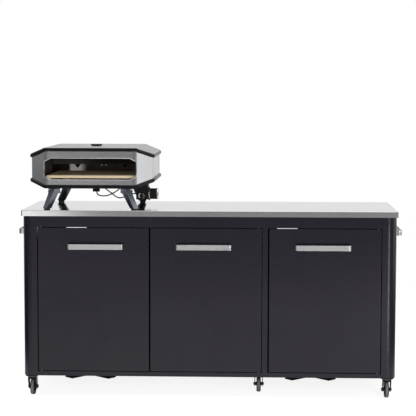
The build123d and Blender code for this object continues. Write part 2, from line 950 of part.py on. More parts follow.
def build_burner():
    """Burner tube across the back of the chamber with a flange at each side wall and a row of ports."""
    half = liner_half_width - oven_sheet
    y = oven_front + burner_setback
    z = worktop_height + burner_height
    with BuildPart() as burner:
        rod((oven_x - half, y, z), burner_radius, 2 * half, rotation=ALONG_X)
        for x in (oven_x - half, oven_x + half - burner_flange_height):
            rod((x, y, z), burner_flange_radius, burner_flange_height, rotation=ALONG_X)
        with BuildSketch(Plane(origin=(oven_x, y, z))):
            with GridLocations(burner_port_pitch, burner_port_pitch, burner_port_count, 1):
                Circle(burner_port_radius)
        extrude(amount=burner_radius + burner_port_radius, mode=Mode.SUBTRACT)
    save(burner, "burner")


def build_thermometer():
    """Round dial housing on the middle of the roof, narrower at its neck and dished under its rim."""
    y = (oven_front + oven_rear) / 2
    z = worktop_height + oven_height
    top = z + thermometer_height
    with BuildPart() as dial:
        rod((oven_x, y, z), thermometer_neck_radius, thermometer_neck_height)
        rod((oven_x, y, z + thermometer_neck_height), thermometer_radius,
            thermometer_height - thermometer_neck_height)
        rod((oven_x, y, top - thermometer_dish), thermometer_radius - thermometer_rim, thermometer_dish,
            Mode.SUBTRACT)
    save(dial, "thermometer")


leg_rows = {-1: oven_front + leg_front_inset, 1: oven_rear - leg_rear_inset}
legs = {
    "front_left": (-1, -1),
    "front_right": (1, -1),
    "rear_left": (-1, 1),
    "rear_right": (1, 1),
}


def leg_section(centre_x, half_width, ridge, back, face):
    """Corner points of the angle section of a leg, its ridge turned outwards."""
    inner = half_width - leg_wall
    return [
        (centre_x - half_width, -face * back),
        (centre_x, face * ridge),
        (centre_x + half_width, -face * back),
        (centre_x + inner, -face * back),
        (centre_x, face * (ridge - leg_wall)),
        (centre_x - inner, -face * back),
    ]


def build_leg(name):
    """Splayed folding leg of angle section, with a knuckle behind its top and a rubber pad under its foot."""
    side, face = legs[name]
    y = leg_rows[face]
    x = oven_x + side * leg_pivot_x
    top_x = side * (leg_top_x - leg_pivot_x)
    splay = side * (leg_foot_x - leg_pivot_x)
    pivot_z = worktop_height + leg_pivot_height
    pad_radius = leg_pivot_height - rest_gap
    pad_side = leg_pivot_height - sqrt(pad_radius**2 - pad_half_depth**2)
    with BuildPart() as leg:
        with BuildSketch(Plane(origin=(x, y, worktop_height + pad_height))):
            with BuildLine():
                Polyline(*leg_section(splay, leg_half_foot, leg_ridge_foot, leg_back_foot, face), close=True)
            make_face()
        with BuildSketch(Plane(origin=(x, y, worktop_height + base_height - leg_top_gap))):
            with BuildLine():
                Polyline(*leg_section(top_x, leg_half_top, leg_ridge_top, leg_back_top, face), close=True)
            make_face()
        loft(ruled=True)
        block(
            (x - leg_web_half, x + leg_web_half),
            sorted((y, y + face * leg_web_reach)),
            (pivot_z - knuckle_radius, pivot_z + knuckle_radius),
        )
        rod((x - knuckle_half, y, pivot_z), knuckle_radius, 2 * knuckle_half, rotation=ALONG_X)
        rod((x - knuckle_half, y, pivot_z), leg_pin_radius + running_clearance, 2 * knuckle_half,
            Mode.SUBTRACT, ALONG_X)
        with BuildSketch(Plane.YZ.offset(x + splay - pad_half_width)):
            with BuildLine():
                ThreePointArc(
                    (y - pad_half_depth, worktop_height + pad_side),
                    (y, worktop_height + rest_gap),
                    (y + pad_half_depth, worktop_height + pad_side),
                )
                Polyline(
                    (y + pad_half_depth, worktop_height + pad_side),
                    (y + pad_half_depth, worktop_height + pad_height - seat_gap),
                    (y - pad_half_depth, worktop_height + pad_height - seat_gap),
                    (y - pad_half_depth, worktop_height + pad_side),
                )
            make_face()
        extrude(amount=2 * pad_half_width)
    save(leg, f"oven_leg_{name}")


def build_leg_brackets():
    """Four clevis brackets under the base, each with two round-ended ears and the pin of its leg."""
    plate_top = worktop_height + base_height
    pivot_z = worktop_height + leg_pivot_height
    with BuildPart() as brackets:
        for side, face in legs.values():
            x = oven_x + side * leg_pivot_x
            y = leg_rows[face]
            ear = knuckle_half + rest_gap
            outer = ear + ear_plate
            y_span = (y - ear_radius, y + ear_radius)
            block((x - outer, x + outer), y_span, (plate_top - bracket_plate, plate_top))
            for ear_x in (x - outer, x + ear):
                block((ear_x, ear_x + ear_plate), y_span, (pivot_z, plate_top - bracket_plate))
                rod((ear_x, y, pivot_z), ear_radius, ear_plate, rotation=ALONG_X)
            rod((x - outer, y, pivot_z), leg_pin_radius, 2 * outer, rotation=ALONG_X)
    save(brackets, "leg_brackets")


def build_gas_box():
    """Valve box under the base with the button's bezel in front, a hose tail behind and the knob's bore."""
    wall_high = base_height + base_rise * (gas_box_outer - oven_fold_half) / slope_run
    outline = [
        (gas_box_inner, gas_box_low),
        (gas_box_outer, gas_box_low),
        (gas_box_outer, wall_high),
        (oven_fold_half, base_height),
        (gas_box_inner, base_height),
    ]
    front = gas_box_front
    button = (oven_x + button_x, front, worktop_height + button_height)
    with BuildPart() as box:
        with BuildSketch(elevation(gas_box_rear)):
            with BuildLine():
                Polyline(*outline, close=True)
            make_face()
        extrude(amount=gas_box_depth)
        rod((button[0], front - bezel_height, button[2]), bezel_radius, bezel_height, rotation=ALONG_Y)
        rod((button[0], front - bezel_height, button[2]), button_radius + running_clearance,
            bezel_height + button_length, Mode.SUBTRACT, ALONG_Y)
        knob = (oven_x + gas_box_outer, knob_y, worktop_height + knob_height)
        rod((knob[0] - knob_shaft_length - rest_gap, knob[1], knob[2]), knob_shaft_radius + running_clearance,
            knob_shaft_length + rest_gap, Mode.SUBTRACT, ALONG_X)
        tail = (oven_x + hose_tail_x, gas_box_rear, worktop_height + hose_tail_height)
        rod(tail, hose_nut_radius, hose_nut_height, rotation=ALONG_Y)
        rod(tail, hose_tail_radius, hose_tail_length, rotation=ALONG_Y)
    save(box, "gas_box")


def build_knob():
    """Fluted gas knob on a flange, with the stub of its shaft in the valve box."""
    base = oven_x + gas_box_outer + rest_gap
    y = knob_y
    z = worktop_height + knob_height
    grip = base + knob_flange_height
    grip_length = knob_length - knob_flange_height
    with BuildPart() as knob:
        rod((base, y, z), knob_flange_radius, knob_flange_height, rotation=ALONG_X)
        rod((grip, y, z), knob_radius, grip_length, rotation=ALONG_X)
        fillet(knob.edges().filter_by(GeomType.CIRCLE).sort_by(Axis.X)[-1], knob_edge_radius)
        with BuildSketch(Plane(origin=(grip, y, z), x_dir=(0, 1, 0), z_dir=(1, 0, 0))):
            with PolarLocations(knob_radius + knob_flute_radius / 2, knob_flute_count):
                Circle(knob_flute_radius)
        extrude(amount=grip_length, mode=Mode.SUBTRACT)
        rod((base - knob_shaft_length, y, z), knob_shaft_radius, knob_shaft_length, rotation=ALONG_X)
    save(knob, "control_knob")


def build_button():
    """Round ignition button that is pressed into its bezel."""
    front = gas_box_front - button_stand
    place = (oven_x + button_x, front, worktop_height + button_height)
    with BuildPart() as button:
        rod(place, button_radius, button_length, rotation=ALONG_Y)
        chamfer(button.edges().filter_by(GeomType.CIRCLE).sort_by(Axis.Y)[0], oven_sheet / 2)
    save(button, "ignition_button")


def build_igniter_box():
    """Small battery box for the spark, screwed under the base."""
    with BuildPart() as box:
        block(
            (oven_x + igniter_low_x, oven_x + igniter_high_x),
            (igniter_y - igniter_half_depth, igniter_y + igniter_half_depth),
            (worktop_height + igniter_low, worktop_height + base_height),
        )
        fillet(box.edges().filter_by(Axis.Z), igniter_edge_radius)
    save(box, "igniter_box")


def cord_radii(points):
    """Largest tangent radius that the runs leave at each inner point of a route."""
    radii = []
    for before, here, after in zip(points, points[1:], points[2:]):
        run_in = Vector(*here) - Vector(*before)
        run_out = Vector(*after) - Vector(*here)
        turn = run_in.get_angle(run_out)
        half_turn = Vector(1, 0).rotate(Axis.Z, turn / 2)
        tangent_run = lead_arc_share * min(run_in.length, run_out.length)
        radii.append(tangent_run * half_turn.X / half_turn.Y)
    return radii


def build_lead(node, points, plane_y):
    """Thin lead that hangs between two of the oven's housings."""
    radii = cord_radii(points)
    print(node, "radii", [round(radius, 1) for radius in radii])
    start = Vector(*points[1]) - Vector(*points[0])
    upright = elevation(plane_y)
    with BuildPart() as lead:
        with BuildLine(upright) as path:
            FilletPolyline(*points, radius=radii)
        direction = upright.x_dir * start.X + upright.y_dir * start.Y
        with BuildSketch(Plane(origin=path.line @ 0, z_dir=direction)):
            Circle(lead_radius)
        sweep(path=path.line)
    save(lead, node)


build_worktop()
for post_side, side_name in ((-1, "left"), (1, "right")):
    build_post(f"post_front_{side_name}", post_side, -1)
    build_post(f"post_rear_{side_name}", post_side, 1)
    build_side_panel(f"side_panel_{side_name}", post_side)
build_rails()
build_mullion()
build_back_panel("back_panel_left", -opening_half, mullion_centre)
build_back_panel("back_panel_right", mullion_centre, opening_half)
build_partition()
build_floor()
build_cross_member()
build_trays()
build_towel_rails()
build_hinge_pins()
build_catches()
for door_name in door_edges:
    build_door(door_name)
    build_door_handle(door_name)
build_caster_plates()
for caster_name in caster_spots:
    build_fork(caster_name)
    build_wheel(caster_name)
build_oven_roof()
build_oven_base()
build_oven_walls()
build_oven_liner()
build_stone()
build_heat_shield()
build_burner()
build_thermometer()
for leg_name in legs:
    build_leg(leg_name)
build_leg_brackets()
build_gas_box()
build_knob()
build_button()
build_igniter_box()
build_lead("igniter_lead", igniter_route, lead_planes[0])
build_lead("valve_lead", valve_route, lead_planes[1])
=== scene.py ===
"""Looks of a long outdoor kitchen cabinet with a gas pizza oven on its worktop.

Metres, in the model's own frame: +X along the worktop to the right, the doors face -Y, +Z up.
"""
import math

import bmesh
import bpy
import numpy as np
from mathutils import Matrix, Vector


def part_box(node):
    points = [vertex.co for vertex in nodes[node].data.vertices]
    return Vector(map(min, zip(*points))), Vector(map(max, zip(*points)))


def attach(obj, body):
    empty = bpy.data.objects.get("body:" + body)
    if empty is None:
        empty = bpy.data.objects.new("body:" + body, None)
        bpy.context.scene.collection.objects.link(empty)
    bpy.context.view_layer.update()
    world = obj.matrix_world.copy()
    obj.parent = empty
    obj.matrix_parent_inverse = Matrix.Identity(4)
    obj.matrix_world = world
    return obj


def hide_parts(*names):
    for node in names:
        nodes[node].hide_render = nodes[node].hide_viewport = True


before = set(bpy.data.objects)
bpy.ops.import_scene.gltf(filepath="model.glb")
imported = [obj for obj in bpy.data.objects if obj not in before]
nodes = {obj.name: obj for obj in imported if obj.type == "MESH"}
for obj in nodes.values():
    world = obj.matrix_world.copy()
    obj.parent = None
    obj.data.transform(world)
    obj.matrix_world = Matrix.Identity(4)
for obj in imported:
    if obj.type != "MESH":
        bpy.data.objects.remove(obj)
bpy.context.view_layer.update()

CASTERS = ("front_left", "front_middle", "front_right", "rear_left", "rear_middle", "rear_right")
DOORS = ("left", "middle", "right")
LEGS = ("front_left", "front_right", "rear_left", "rear_right")
OVEN_X = -0.5685
OVEN_FRONT = -0.2835
OVEN_REAR = 0.2835
WORKTOP_TOP = 0.905


def feed(tree, socket, value):
    """Link a socket to another one, or set it to a plain value."""
    if isinstance(value, bpy.types.NodeSocket):
        tree.links.new(value, socket)
    else:
        socket.default_value = value


def put(tree, kind, settings=None, **inputs):
    """New shader node; settings are its properties, inputs its values or the sockets that feed it."""
    node = tree.nodes.new("ShaderNode" + kind)
    for key, value in (settings or {}).items():
        setattr(node, key, value)
    for key, value in inputs.items():
        feed(tree, node.inputs[key.replace("_", " ")], value)
    return node


def calc(tree, operation, first, second=0.0, clamp=False):
    """Value of one arithmetic step."""
    node = put(tree, "Math", {"operation": operation, "use_clamp": clamp})
    for socket, value in zip(node.inputs, (first, second)):
        feed(tree, socket, value)
    return node.outputs[0]


def spread(tree, value, low, high, new_low, new_high):
    """Value carried from one range to another and held at its ends."""
    node = put(tree, "MapRange", Value=value, From_Min=low, From_Max=high, To_Min=new_low, To_Max=new_high)
    return node.outputs["Result"]


def tint(tree, factor, first, second):
    """Colour between two colours."""
    node = put(tree, "Mix", {"data_type": "RGBA"})
    for socket, value in zip((node.inputs[0], node.inputs[6], node.inputs[7]), (factor, first, second)):
        feed(tree, socket, value)
    return node.outputs[2]


def rgba(colour):
    """Colour with full cover."""
    return (*colour, 1.0)


def shader_group(name, inputs, outputs):
    """Empty group of shader nodes with named sockets, and its two end nodes."""
    tree = bpy.data.node_groups.new(name, "ShaderNodeTree")
    for label, kind, value in inputs:
        socket = tree.interface.new_socket(label, in_out="INPUT", socket_type="NodeSocket" + kind)
        if value is not None:
            socket.default_value = value
    for label, kind in outputs:
        tree.interface.new_socket(label, in_out="OUTPUT", socket_type="NodeSocket" + kind)
    return tree, tree.nodes.new("NodeGroupInput"), tree.nodes.new("NodeGroupOutput")


def make_brushed_grain():
    """Fine and broad streaks along the stretched axis of the given vector."""
    tree, enter, leave = shader_group(
        "brushed_grain",
        [("Vector", "Vector", None), ("Contrast", "Float", 1.0)],
        [("Tone", "Float"), ("Height", "Float")],
    )
    fine = put(tree, "TexNoise", Vector=enter.outputs["Vector"], Scale=1.0, Detail=3.0, Roughness=0.65)
    broad = put(tree, "TexNoise", Vector=enter.outputs["Vector"], Scale=0.09, Detail=2.0, Roughness=0.5)
    both = calc(tree, "ADD", calc(tree, "MULTIPLY", fine.outputs["Fac"], 0.6),
                calc(tree, "MULTIPLY", broad.outputs["Fac"], 0.4))
    swing = calc(tree, "MULTIPLY", calc(tree, "SUBTRACT", both, 0.5), enter.outputs["Contrast"])
    tree.links.new(calc(tree, "ADD", swing, 0.5, clamp=True), leave.inputs["Tone"])
    tree.links.new(fine.outputs["Fac"], leave.inputs["Height"])
    return tree


def make_coat_grain():
    """Orange peel of a sprayed coat with small paler flecks in it."""
    tree, enter, leave = shader_group(
        "coat_grain",
        [("Vector", "Vector", None), ("Scale", "Float", 700.0)],
        [("Tone", "Float"), ("Height", "Float")],
    )
    peel = put(tree, "TexNoise", Vector=enter.outputs["Vector"], Scale=enter.outputs["Scale"], Detail=2.0,
               Roughness=0.55)
    fleck_scale = calc(tree, "MULTIPLY", enter.outputs["Scale"], 1.7)
    fleck = put(tree, "TexVoronoi", Vector=enter.outputs["Vector"], Scale=fleck_scale)
    dots = spread(tree, fleck.outputs["Distance"], 0.0, 0.35, 1.0, 0.0)
    tone = calc(tree, "ADD", calc(tree, "MULTIPLY", peel.outputs["Fac"], 0.7),
                calc(tree, "MULTIPLY", dots, 0.3))
    tree.links.new(tone, leave.inputs["Tone"])
    tree.links.new(peel.outputs["Fac"], leave.inputs["Height"])
    return tree


def make_handling_marks():
    """Broad cloudy patches where a surface has been wiped and touched."""
    tree, enter, leave = shader_group(
        "handling_marks",
        [("Vector", "Vector", None), ("Scale", "Float", 4.0)],
        [("Tone", "Float")],
    )
    cloud = put(tree, "TexNoise", Vector=enter.outputs["Vector"], Scale=enter.outputs["Scale"], Detail=5.0,
                Roughness=0.6, Distortion=0.6)
    tree.links.new(spread(tree, cloud.outputs["Fac"], 0.3, 0.7, 0.0, 1.0), leave.inputs["Tone"])
    return tree


GRAIN = make_brushed_grain()
COAT = make_coat_grain()
MARKS = make_handling_marks()


def use(tree, group, **inputs):
    """A group placed in a material."""
    return put(tree, "Group", {"node_tree": group}, **inputs)


def new_finish(name):
    """Material with its shader, and the piece's own coordinates."""
    material = bpy.data.materials.new(name)
    material.use_nodes = True
    tree = material.node_tree
    shader = tree.nodes["Principled BSDF"]
    place = tree.nodes.new("ShaderNodeTexCoord").outputs["Object"]
    return material, tree, shader, place


GRAIN_DEPTH = 0.0004


def bump(tree, shader, height, strength, distance=GRAIN_DEPTH):
    """Relief from a height value."""
    node = put(tree, "Bump", Height=height, Strength=strength, Distance=distance)
    tree.links.new(node.outputs["Normal"], shader.inputs["Normal"])


def brushed(name, dark, light, rough, stretch, contrast=1.0, relief=0.1):
    """Brushed metal: streaks along the axis with the smallest stretch, cloudy where it was wiped."""
    material, tree, shader, place = new_finish(name)
    stretched = put(tree, "Mapping", Vector=place, Scale=stretch).outputs["Vector"]
    grain = use(tree, GRAIN, Vector=stretched, Contrast=contrast)
    marks = use(tree, MARKS, Vector=place, Scale=5.0)
    colour = tint(tree, grain.outputs["Tone"], rgba(dark), rgba(light))
    tree.links.new(colour, shader.inputs["Base Color"])
    base = spread(tree, grain.outputs["Tone"], 0.0, 1.0, rough * 0.7, rough * 1.3)
    wiped = calc(tree, "MULTIPLY", calc(tree, "SUBTRACT", marks.outputs["Tone"], 0.5), rough * 0.3)
    tree.links.new(calc(tree, "ADD", base, wiped, clamp=True), shader.inputs["Roughness"])
    shader.inputs["Metallic"].default_value = 1.0
    bump(tree, shader, grain.outputs["Height"], relief)
    return material


def coated(name, dark, light, rough, scale, relief, specular=0.5):
    """Sprayed coat or moulded skin: fine peel, pale flecks and a cloudy gloss."""
    material, tree, shader, place = new_finish(name)
    peel = use(tree, COAT, Vector=place, Scale=scale)
    marks = use(tree, MARKS, Vector=place, Scale=3.0)
    tree.links.new(tint(tree, peel.outputs["Tone"], rgba(dark), rgba(light)), shader.inputs["Base Color"])
    gloss = spread(tree, marks.outputs["Tone"], 0.0, 1.0, rough - 0.04, rough + 0.05)
    tree.links.new(gloss, shader.inputs["Roughness"])
    shader.inputs["Specular IOR Level"].default_value = specular
    bump(tree, shader, peel.outputs["Height"], relief)
    return material


TOAST_START, TOAST_FULL = OVEN_FRONT + 0.18, 0.23
# Edges, across the oven, of the pale patch of painted light on the heat shield.
PAINTED_LIGHT_LEFT = (OVEN_X - 0.166, OVEN_X - 0.156)
PAINTED_LIGHT_RIGHT = (OVEN_X - 0.105, OVEN_X - 0.070)
PAD_TOP = WORKTOP_TOP + 0.00797


def stone_finish():
    """Fired ceramic: cream with brown and pale grains and a darker bloom towards the flames."""
    material, tree, shader, place = new_finish("baking_stone")
    grain = use(tree, COAT, Vector=place, Scale=420.0)
    bloom = use(tree, MARKS, Vector=place, Scale=9.0)
    depth = put(tree, "SeparateXYZ", Vector=place).outputs["Y"]
    toast = calc(tree, "MULTIPLY", spread(tree, depth, TOAST_START, TOAST_FULL, 0.0, 0.5),
                 spread(tree, bloom.outputs["Tone"], 0.0, 1.0, 0.5, 1.0))
    raw = tint(tree, grain.outputs["Tone"], (0.86, 0.66, 0.42, 1.0), (1.0, 0.88, 0.66, 1.0))
    tree.links.new(tint(tree, toast, raw, (0.30, 0.19, 0.10, 1.0)), shader.inputs["Base Color"])
    shader.inputs["Roughness"].default_value = 0.9
    bump(tree, shader, grain.outputs["Height"], 0.35, 0.0008)
    return material


def burnt_steel_with_painted_light():
    """Polished steel sheet burnt brown by the flames, with a pale patch of painted light round the notch on
    its left, where it is less metallic.
    """
    material, tree, shader, place = new_finish("burnt_steel_with_painted_light")
    stretched = put(tree, "Mapping", Vector=place, Scale=(8.0, 500.0, 500.0)).outputs["Vector"]
    grain = use(tree, GRAIN, Vector=stretched, Contrast=1.2)
    marks = use(tree, MARKS, Vector=place, Scale=14.0)
    across = put(tree, "SeparateXYZ", Vector=place).outputs["X"]
    # Mask of the patch of painted light round the shield's left notch: a painted pool of light, not a scoured
    # surface.
    bright = calc(tree, "MULTIPLY", spread(tree, across, *PAINTED_LIGHT_LEFT, 0.0, 1.0),
                  spread(tree, across, *PAINTED_LIGHT_RIGHT, 1.0, 0.0))
    burnt = tint(tree, marks.outputs["Tone"], (0.15, 0.12, 0.115, 1.0), (0.26, 0.215, 0.205, 1.0))
    # Pale colour of the painted light on the shield.
    painted_light_tint = tint(tree, grain.outputs["Tone"], (0.86, 0.80, 0.76, 1.0), (1.0, 0.95, 0.92, 1.0))
    tree.links.new(tint(tree, bright, burnt, painted_light_tint), shader.inputs["Base Color"])
    tree.links.new(spread(tree, bright, 0.0, 1.0, 1.0, 0.25), shader.inputs["Metallic"])
    shader.inputs["Roughness"].default_value = 0.3
    bump(tree, shader, grain.outputs["Height"], 0.04)
    return material


def dial_finish(centre, radius):
    """Pale dial with 24 marks to a turn over four fifths of it, and a warm band over the hot end."""
    material, tree, shader, place = new_finish("dial_face")
    off = put(tree, "Mapping", Vector=place, Location=tuple(-c for c in centre)).outputs["Vector"]
    axes = put(tree, "SeparateXYZ", Vector=off)
    turn = calc(tree, "DIVIDE", calc(tree, "ARCTAN2", axes.outputs["X"], axes.outputs["Y"]), 2 * math.pi)
    length = put(tree, "VectorMath", {"operation": "LENGTH"}, Vector=off).outputs["Value"]
    far = calc(tree, "DIVIDE", length, radius)
    part = calc(tree, "FRACT", calc(tree, "MULTIPLY", turn, 24.0))
    mark = calc(tree, "GREATER_THAN", calc(tree, "ABSOLUTE", calc(tree, "SUBTRACT", part, 0.5)), 0.43)
    ring = calc(tree, "MULTIPLY", calc(tree, "GREATER_THAN", far, 0.72), calc(tree, "LESS_THAN", far, 0.9))
    swept = calc(tree, "LESS_THAN", calc(tree, "ABSOLUTE", turn), 0.4)
    ink = calc(tree, "MULTIPLY", calc(tree, "MULTIPLY", mark, ring), swept)
    hot = calc(tree, "MULTIPLY", calc(tree, "GREATER_THAN", turn, 0.2),
               calc(tree, "MULTIPLY", swept, calc(tree, "GREATER_THAN", far, 0.9)))
    face = tint(tree, hot, (0.82, 0.82, 0.80, 1.0), (0.55, 0.06, 0.03, 1.0))
    tree.links.new(tint(tree, ink, face, (0.02, 0.02, 0.02, 1.0)), shader.inputs["Base Color"])
    shader.inputs["Roughness"].default_value = 0.6
    return material


def leg_finish():
    """Blue-grey metallic coat on the legs, and black rubber on the pads under their feet."""
    material, tree, shader, place = new_finish("leg_satin")
    peel = use(tree, COAT, Vector=place, Scale=900.0)
    height = put(tree, "SeparateXYZ", Vector=place).outputs["Z"]
    coat = calc(tree, "GREATER_THAN", height, PAD_TOP)
    satin = tint(tree, peel.outputs["Tone"], (0.105, 0.113, 0.136, 1.0), (0.175, 0.187, 0.222, 1.0))
    rubber = tint(tree, peel.outputs["Tone"], (0.006, 0.006, 0.006, 1.0), (0.014, 0.014, 0.014, 1.0))
    tree.links.new(tint(tree, coat, rubber, satin), shader.inputs["Base Color"])
    tree.links.new(spread(tree, coat, 0.0, 1.0, 0.75, 0.24), shader.inputs["Roughness"])
    tree.links.new(calc(tree, "MULTIPLY", coat, 0.85), shader.inputs["Metallic"])
    bump(tree, shader, peel.outputs["Height"], 0.12)
    return material


def glass_finish():
    """Clear pressed lens."""
    material, tree, shader, place = new_finish("dial_glass")
    ripple = use(tree, MARKS, Vector=place, Scale=60.0)
    shader.inputs["Base Color"].default_value = (0.97, 0.98, 0.98, 1.0)
    shader.inputs["Transmission Weight"].default_value = 1.0
    shader.inputs["Roughness"].default_value = 0.02
    shader.inputs["IOR"].default_value = 1.46
    bump(tree, shader, ripple.outputs["Tone"], 0.02, 0.0002)
    return material


WORKTOP = brushed("worktop_stainless", (0.44, 0.44, 0.447), (0.53, 0.53, 0.535), rough=0.09,
                  stretch=(5.0, 900.0, 900.0), contrast=0.9, relief=0.03)
HANDLE = brushed("handle_brushed", (0.50, 0.50, 0.505), (0.68, 0.68, 0.685), rough=0.28,
                 stretch=(12.0, 1300.0, 1300.0), relief=0.12)
RAIL = brushed("rail_brushed", (0.40, 0.40, 0.40), (0.55, 0.55, 0.55), rough=0.18,
               stretch=(1300.0, 12.0, 1300.0), relief=0.12)
OVEN_ROOF = brushed("oven_roof_steel", (0.265, 0.265, 0.265), (0.355, 0.355, 0.353), rough=0.34,
                    stretch=(9.0, 900.0, 900.0))
OVEN_STEEL = brushed("oven_wall_steel", (0.395, 0.395, 0.405), (0.465, 0.465, 0.477), rough=0.24,
                     stretch=(9.0, 9.0, 900.0), relief=0.06)
ZINC = brushed("zinc_plate", (0.16, 0.16, 0.16), (0.26, 0.26, 0.25), rough=0.35,
               stretch=(300.0, 300.0, 300.0), contrast=1.2)
SCREW = brushed("screw_steel", (0.55, 0.55, 0.56), (0.75, 0.75, 0.76), rough=0.25,
                stretch=(600.0, 600.0, 600.0), relief=0.05)
BRASS = brushed("knob_ring", (0.66, 0.56, 0.50), (0.86, 0.77, 0.70), rough=0.25,
                stretch=(900.0, 60.0, 60.0), relief=0.05)
DARK_ZINC = brushed("black_zinc", (0.06, 0.06, 0.062), (0.12, 0.12, 0.122), rough=0.38,
                    stretch=(600.0, 600.0, 600.0), relief=0.05)
BURNER = brushed("burner_tube", (0.030, 0.026, 0.024), (0.070, 0.060, 0.054), rough=0.5,
                 stretch=(12.0, 600.0, 600.0))
CABINET = coated("cabinet_powder", (0.0048, 0.0033, 0.0086), (0.0110, 0.0077, 0.0192), rough=0.26,
                 scale=750.0, relief=0.08, specular=0.37)
# Near-black finish on the bottle trays: painted shade, standing in for the shadow under the cabinet where
# they lie.
SHADED_TRAY = coated("tray_painted_shade", (0.0015, 0.0015, 0.0016), (0.0030, 0.0030, 0.0032), rough=0.6,
              scale=750.0, relief=0.1, specular=0.1)
OVEN_BLACK = coated("oven_black", (0.003, 0.003, 0.0042), (0.007, 0.007, 0.0100), rough=0.32,
                    scale=900.0, relief=0.12, specular=0.16)
LINER = coated("chamber_enamel", (0.070, 0.060, 0.052), (0.150, 0.130, 0.112), rough=0.55,
               scale=350.0, relief=0.2, specular=0.3)
CASTER_BLACK = coated("caster_black", (0.002, 0.002, 0.002), (0.006, 0.006, 0.006), rough=0.42,
                      scale=500.0, relief=0.12, specular=0.18)
MOULDED = coated("moulded_black", (0.006, 0.006, 0.007), (0.016, 0.016, 0.018), rough=0.48,
                 scale=1400.0, relief=0.25, specular=0.4)
TYRE = coated("tyre_black", (0.004, 0.004, 0.004), (0.012, 0.012, 0.012), rough=0.7,
              scale=600.0, relief=0.3, specular=0.2)
# Grey colour of the band round the middle of each caster tread: a painted highlight.
TREAD_HIGHLIGHT = coated("tread_painted_highlight", (0.20, 0.20, 0.21), (0.32, 0.32, 0.33), rough=0.75,
               scale=600.0, relief=0.3)
HUB = coated("hub_black", (0.006, 0.006, 0.006), (0.014, 0.014, 0.014), rough=0.4,
             scale=900.0, relief=0.15, specular=0.35)
LEAD_BLACK = coated("lead_black", (0.006, 0.006, 0.006), (0.016, 0.016, 0.016), rough=0.5,
                    scale=2200.0, relief=0.2, specular=0.3)
LEAD_GREY = coated("lead_grey", (0.016, 0.016, 0.016), (0.034, 0.034, 0.033), rough=0.5,
                   scale=2200.0, relief=0.2, specular=0.3)
NEEDLE = coated("needle_black", (0.010, 0.010, 0.010), (0.020, 0.020, 0.020), rough=0.4,
                scale=2200.0, relief=0.05)
CERAMIC = coated("spark_ceramic", (0.78, 0.76, 0.73), (0.92, 0.90, 0.87), rough=0.4,
                 scale=900.0, relief=0.1)
LEG_SATIN = leg_finish()
STONE = stone_finish()
HEATED = burnt_steel_with_painted_light()
GLASS = glass_finish()

NODE_FINISH = {
    "worktop": WORKTOP, "rails_rear": CABINET, "rail_front_top": CABINET, "rail_front_bottom": CABINET,
    "mullion": CABINET, "partition": CABINET, "floor_panel": CABINET, "floor_cross_member": CABINET,
    "bottle_trays": SHADED_TRAY, "towel_rails": RAIL, "hinge_pins": ZINC, "door_catches": MOULDED,
    "caster_plates": CASTER_BLACK, "oven_front": OVEN_STEEL, "oven_shell": OVEN_STEEL,
    "oven_roof": OVEN_ROOF,
    "oven_roof_trim": OVEN_BLACK, "oven_base": OVEN_BLACK, "oven_liner": LINER, "pizza_stone": STONE,
    "heat_shield": HEATED, "burner": BURNER, "thermometer": MOULDED, "leg_brackets": OVEN_BLACK,
    "gas_box": MOULDED, "control_knob": MOULDED, "ignition_button": MOULDED, "igniter_box": MOULDED,
    "igniter_lead": LEAD_BLACK, "valve_lead": LEAD_GREY,
}
for side in ("left", "right"):
    NODE_FINISH.update({f"post_front_{side}": CABINET, f"post_rear_{side}": CABINET})
    NODE_FINISH.update({f"side_panel_{side}": CABINET, f"back_panel_{side}": CABINET})
for name in DOORS:
    NODE_FINISH.update({f"door_{name}": CABINET, f"handle_{name}": HANDLE})
for name in CASTERS:
    NODE_FINISH.update({f"caster_fork_{name}": CASTER_BLACK, f"caster_wheel_{name}": TYRE})
for name in LEGS:
    NODE_FINISH[f"oven_leg_{name}"] = LEG_SATIN
for name, node in nodes.items():
    node.data.materials.clear()
    node.data.materials.append(NODE_FINISH[name])


def grid_faces(rows, columns, wrap):
    """Quads between neighbouring rows and columns of a grid; with wrap, its columns close on themselves."""
    row = np.arange(rows - 1)[:, None]
    column = np.arange(columns if wrap else columns - 1)[None, :]
    following = (column + 1) % columns
    corners = (row * columns + column, row * columns + following,
               (row + 1) * columns + following, (row + 1) * columns + column)
    return np.stack(corners, axis=-1).reshape(-1, 4)


def piece(name, sheets, body, finish, sharp=35.0):
    """One mesh from grids of points, each (points, wrap), merged at its poles and turned outwards."""
    points, faces, start = [], [], 0
    for grid, wrap in sheets:
        rows, columns = grid.shape[:2]
        points.append(grid.reshape(-1, 3))
        faces.append(grid_faces(rows, columns, wrap) + start)
        start += rows * columns
    mesh = bpy.data.meshes.new(name)
    mesh.from_pydata(np.concatenate(points).tolist(), [], np.concatenate(faces).tolist())
    shape = bmesh.new()
    shape.from_mesh(mesh)
    bmesh.ops.remove_doubles(shape, verts=shape.verts, dist=1e-6)
    bmesh.ops.recalc_face_normals(shape, faces=shape.faces)
    shape.to_mesh(mesh)
    shape.free()
    mesh.polygons.foreach_set("use_smooth", np.ones(len(mesh.polygons), bool))
    mesh.set_sharp_from_angle(angle=math.radians(sharp))
    mesh.materials.append(finish)
    made = bpy.data.objects.new(name, mesh)
    bpy.context.scene.collection.objects.link(made)
    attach(made, body)
    return made


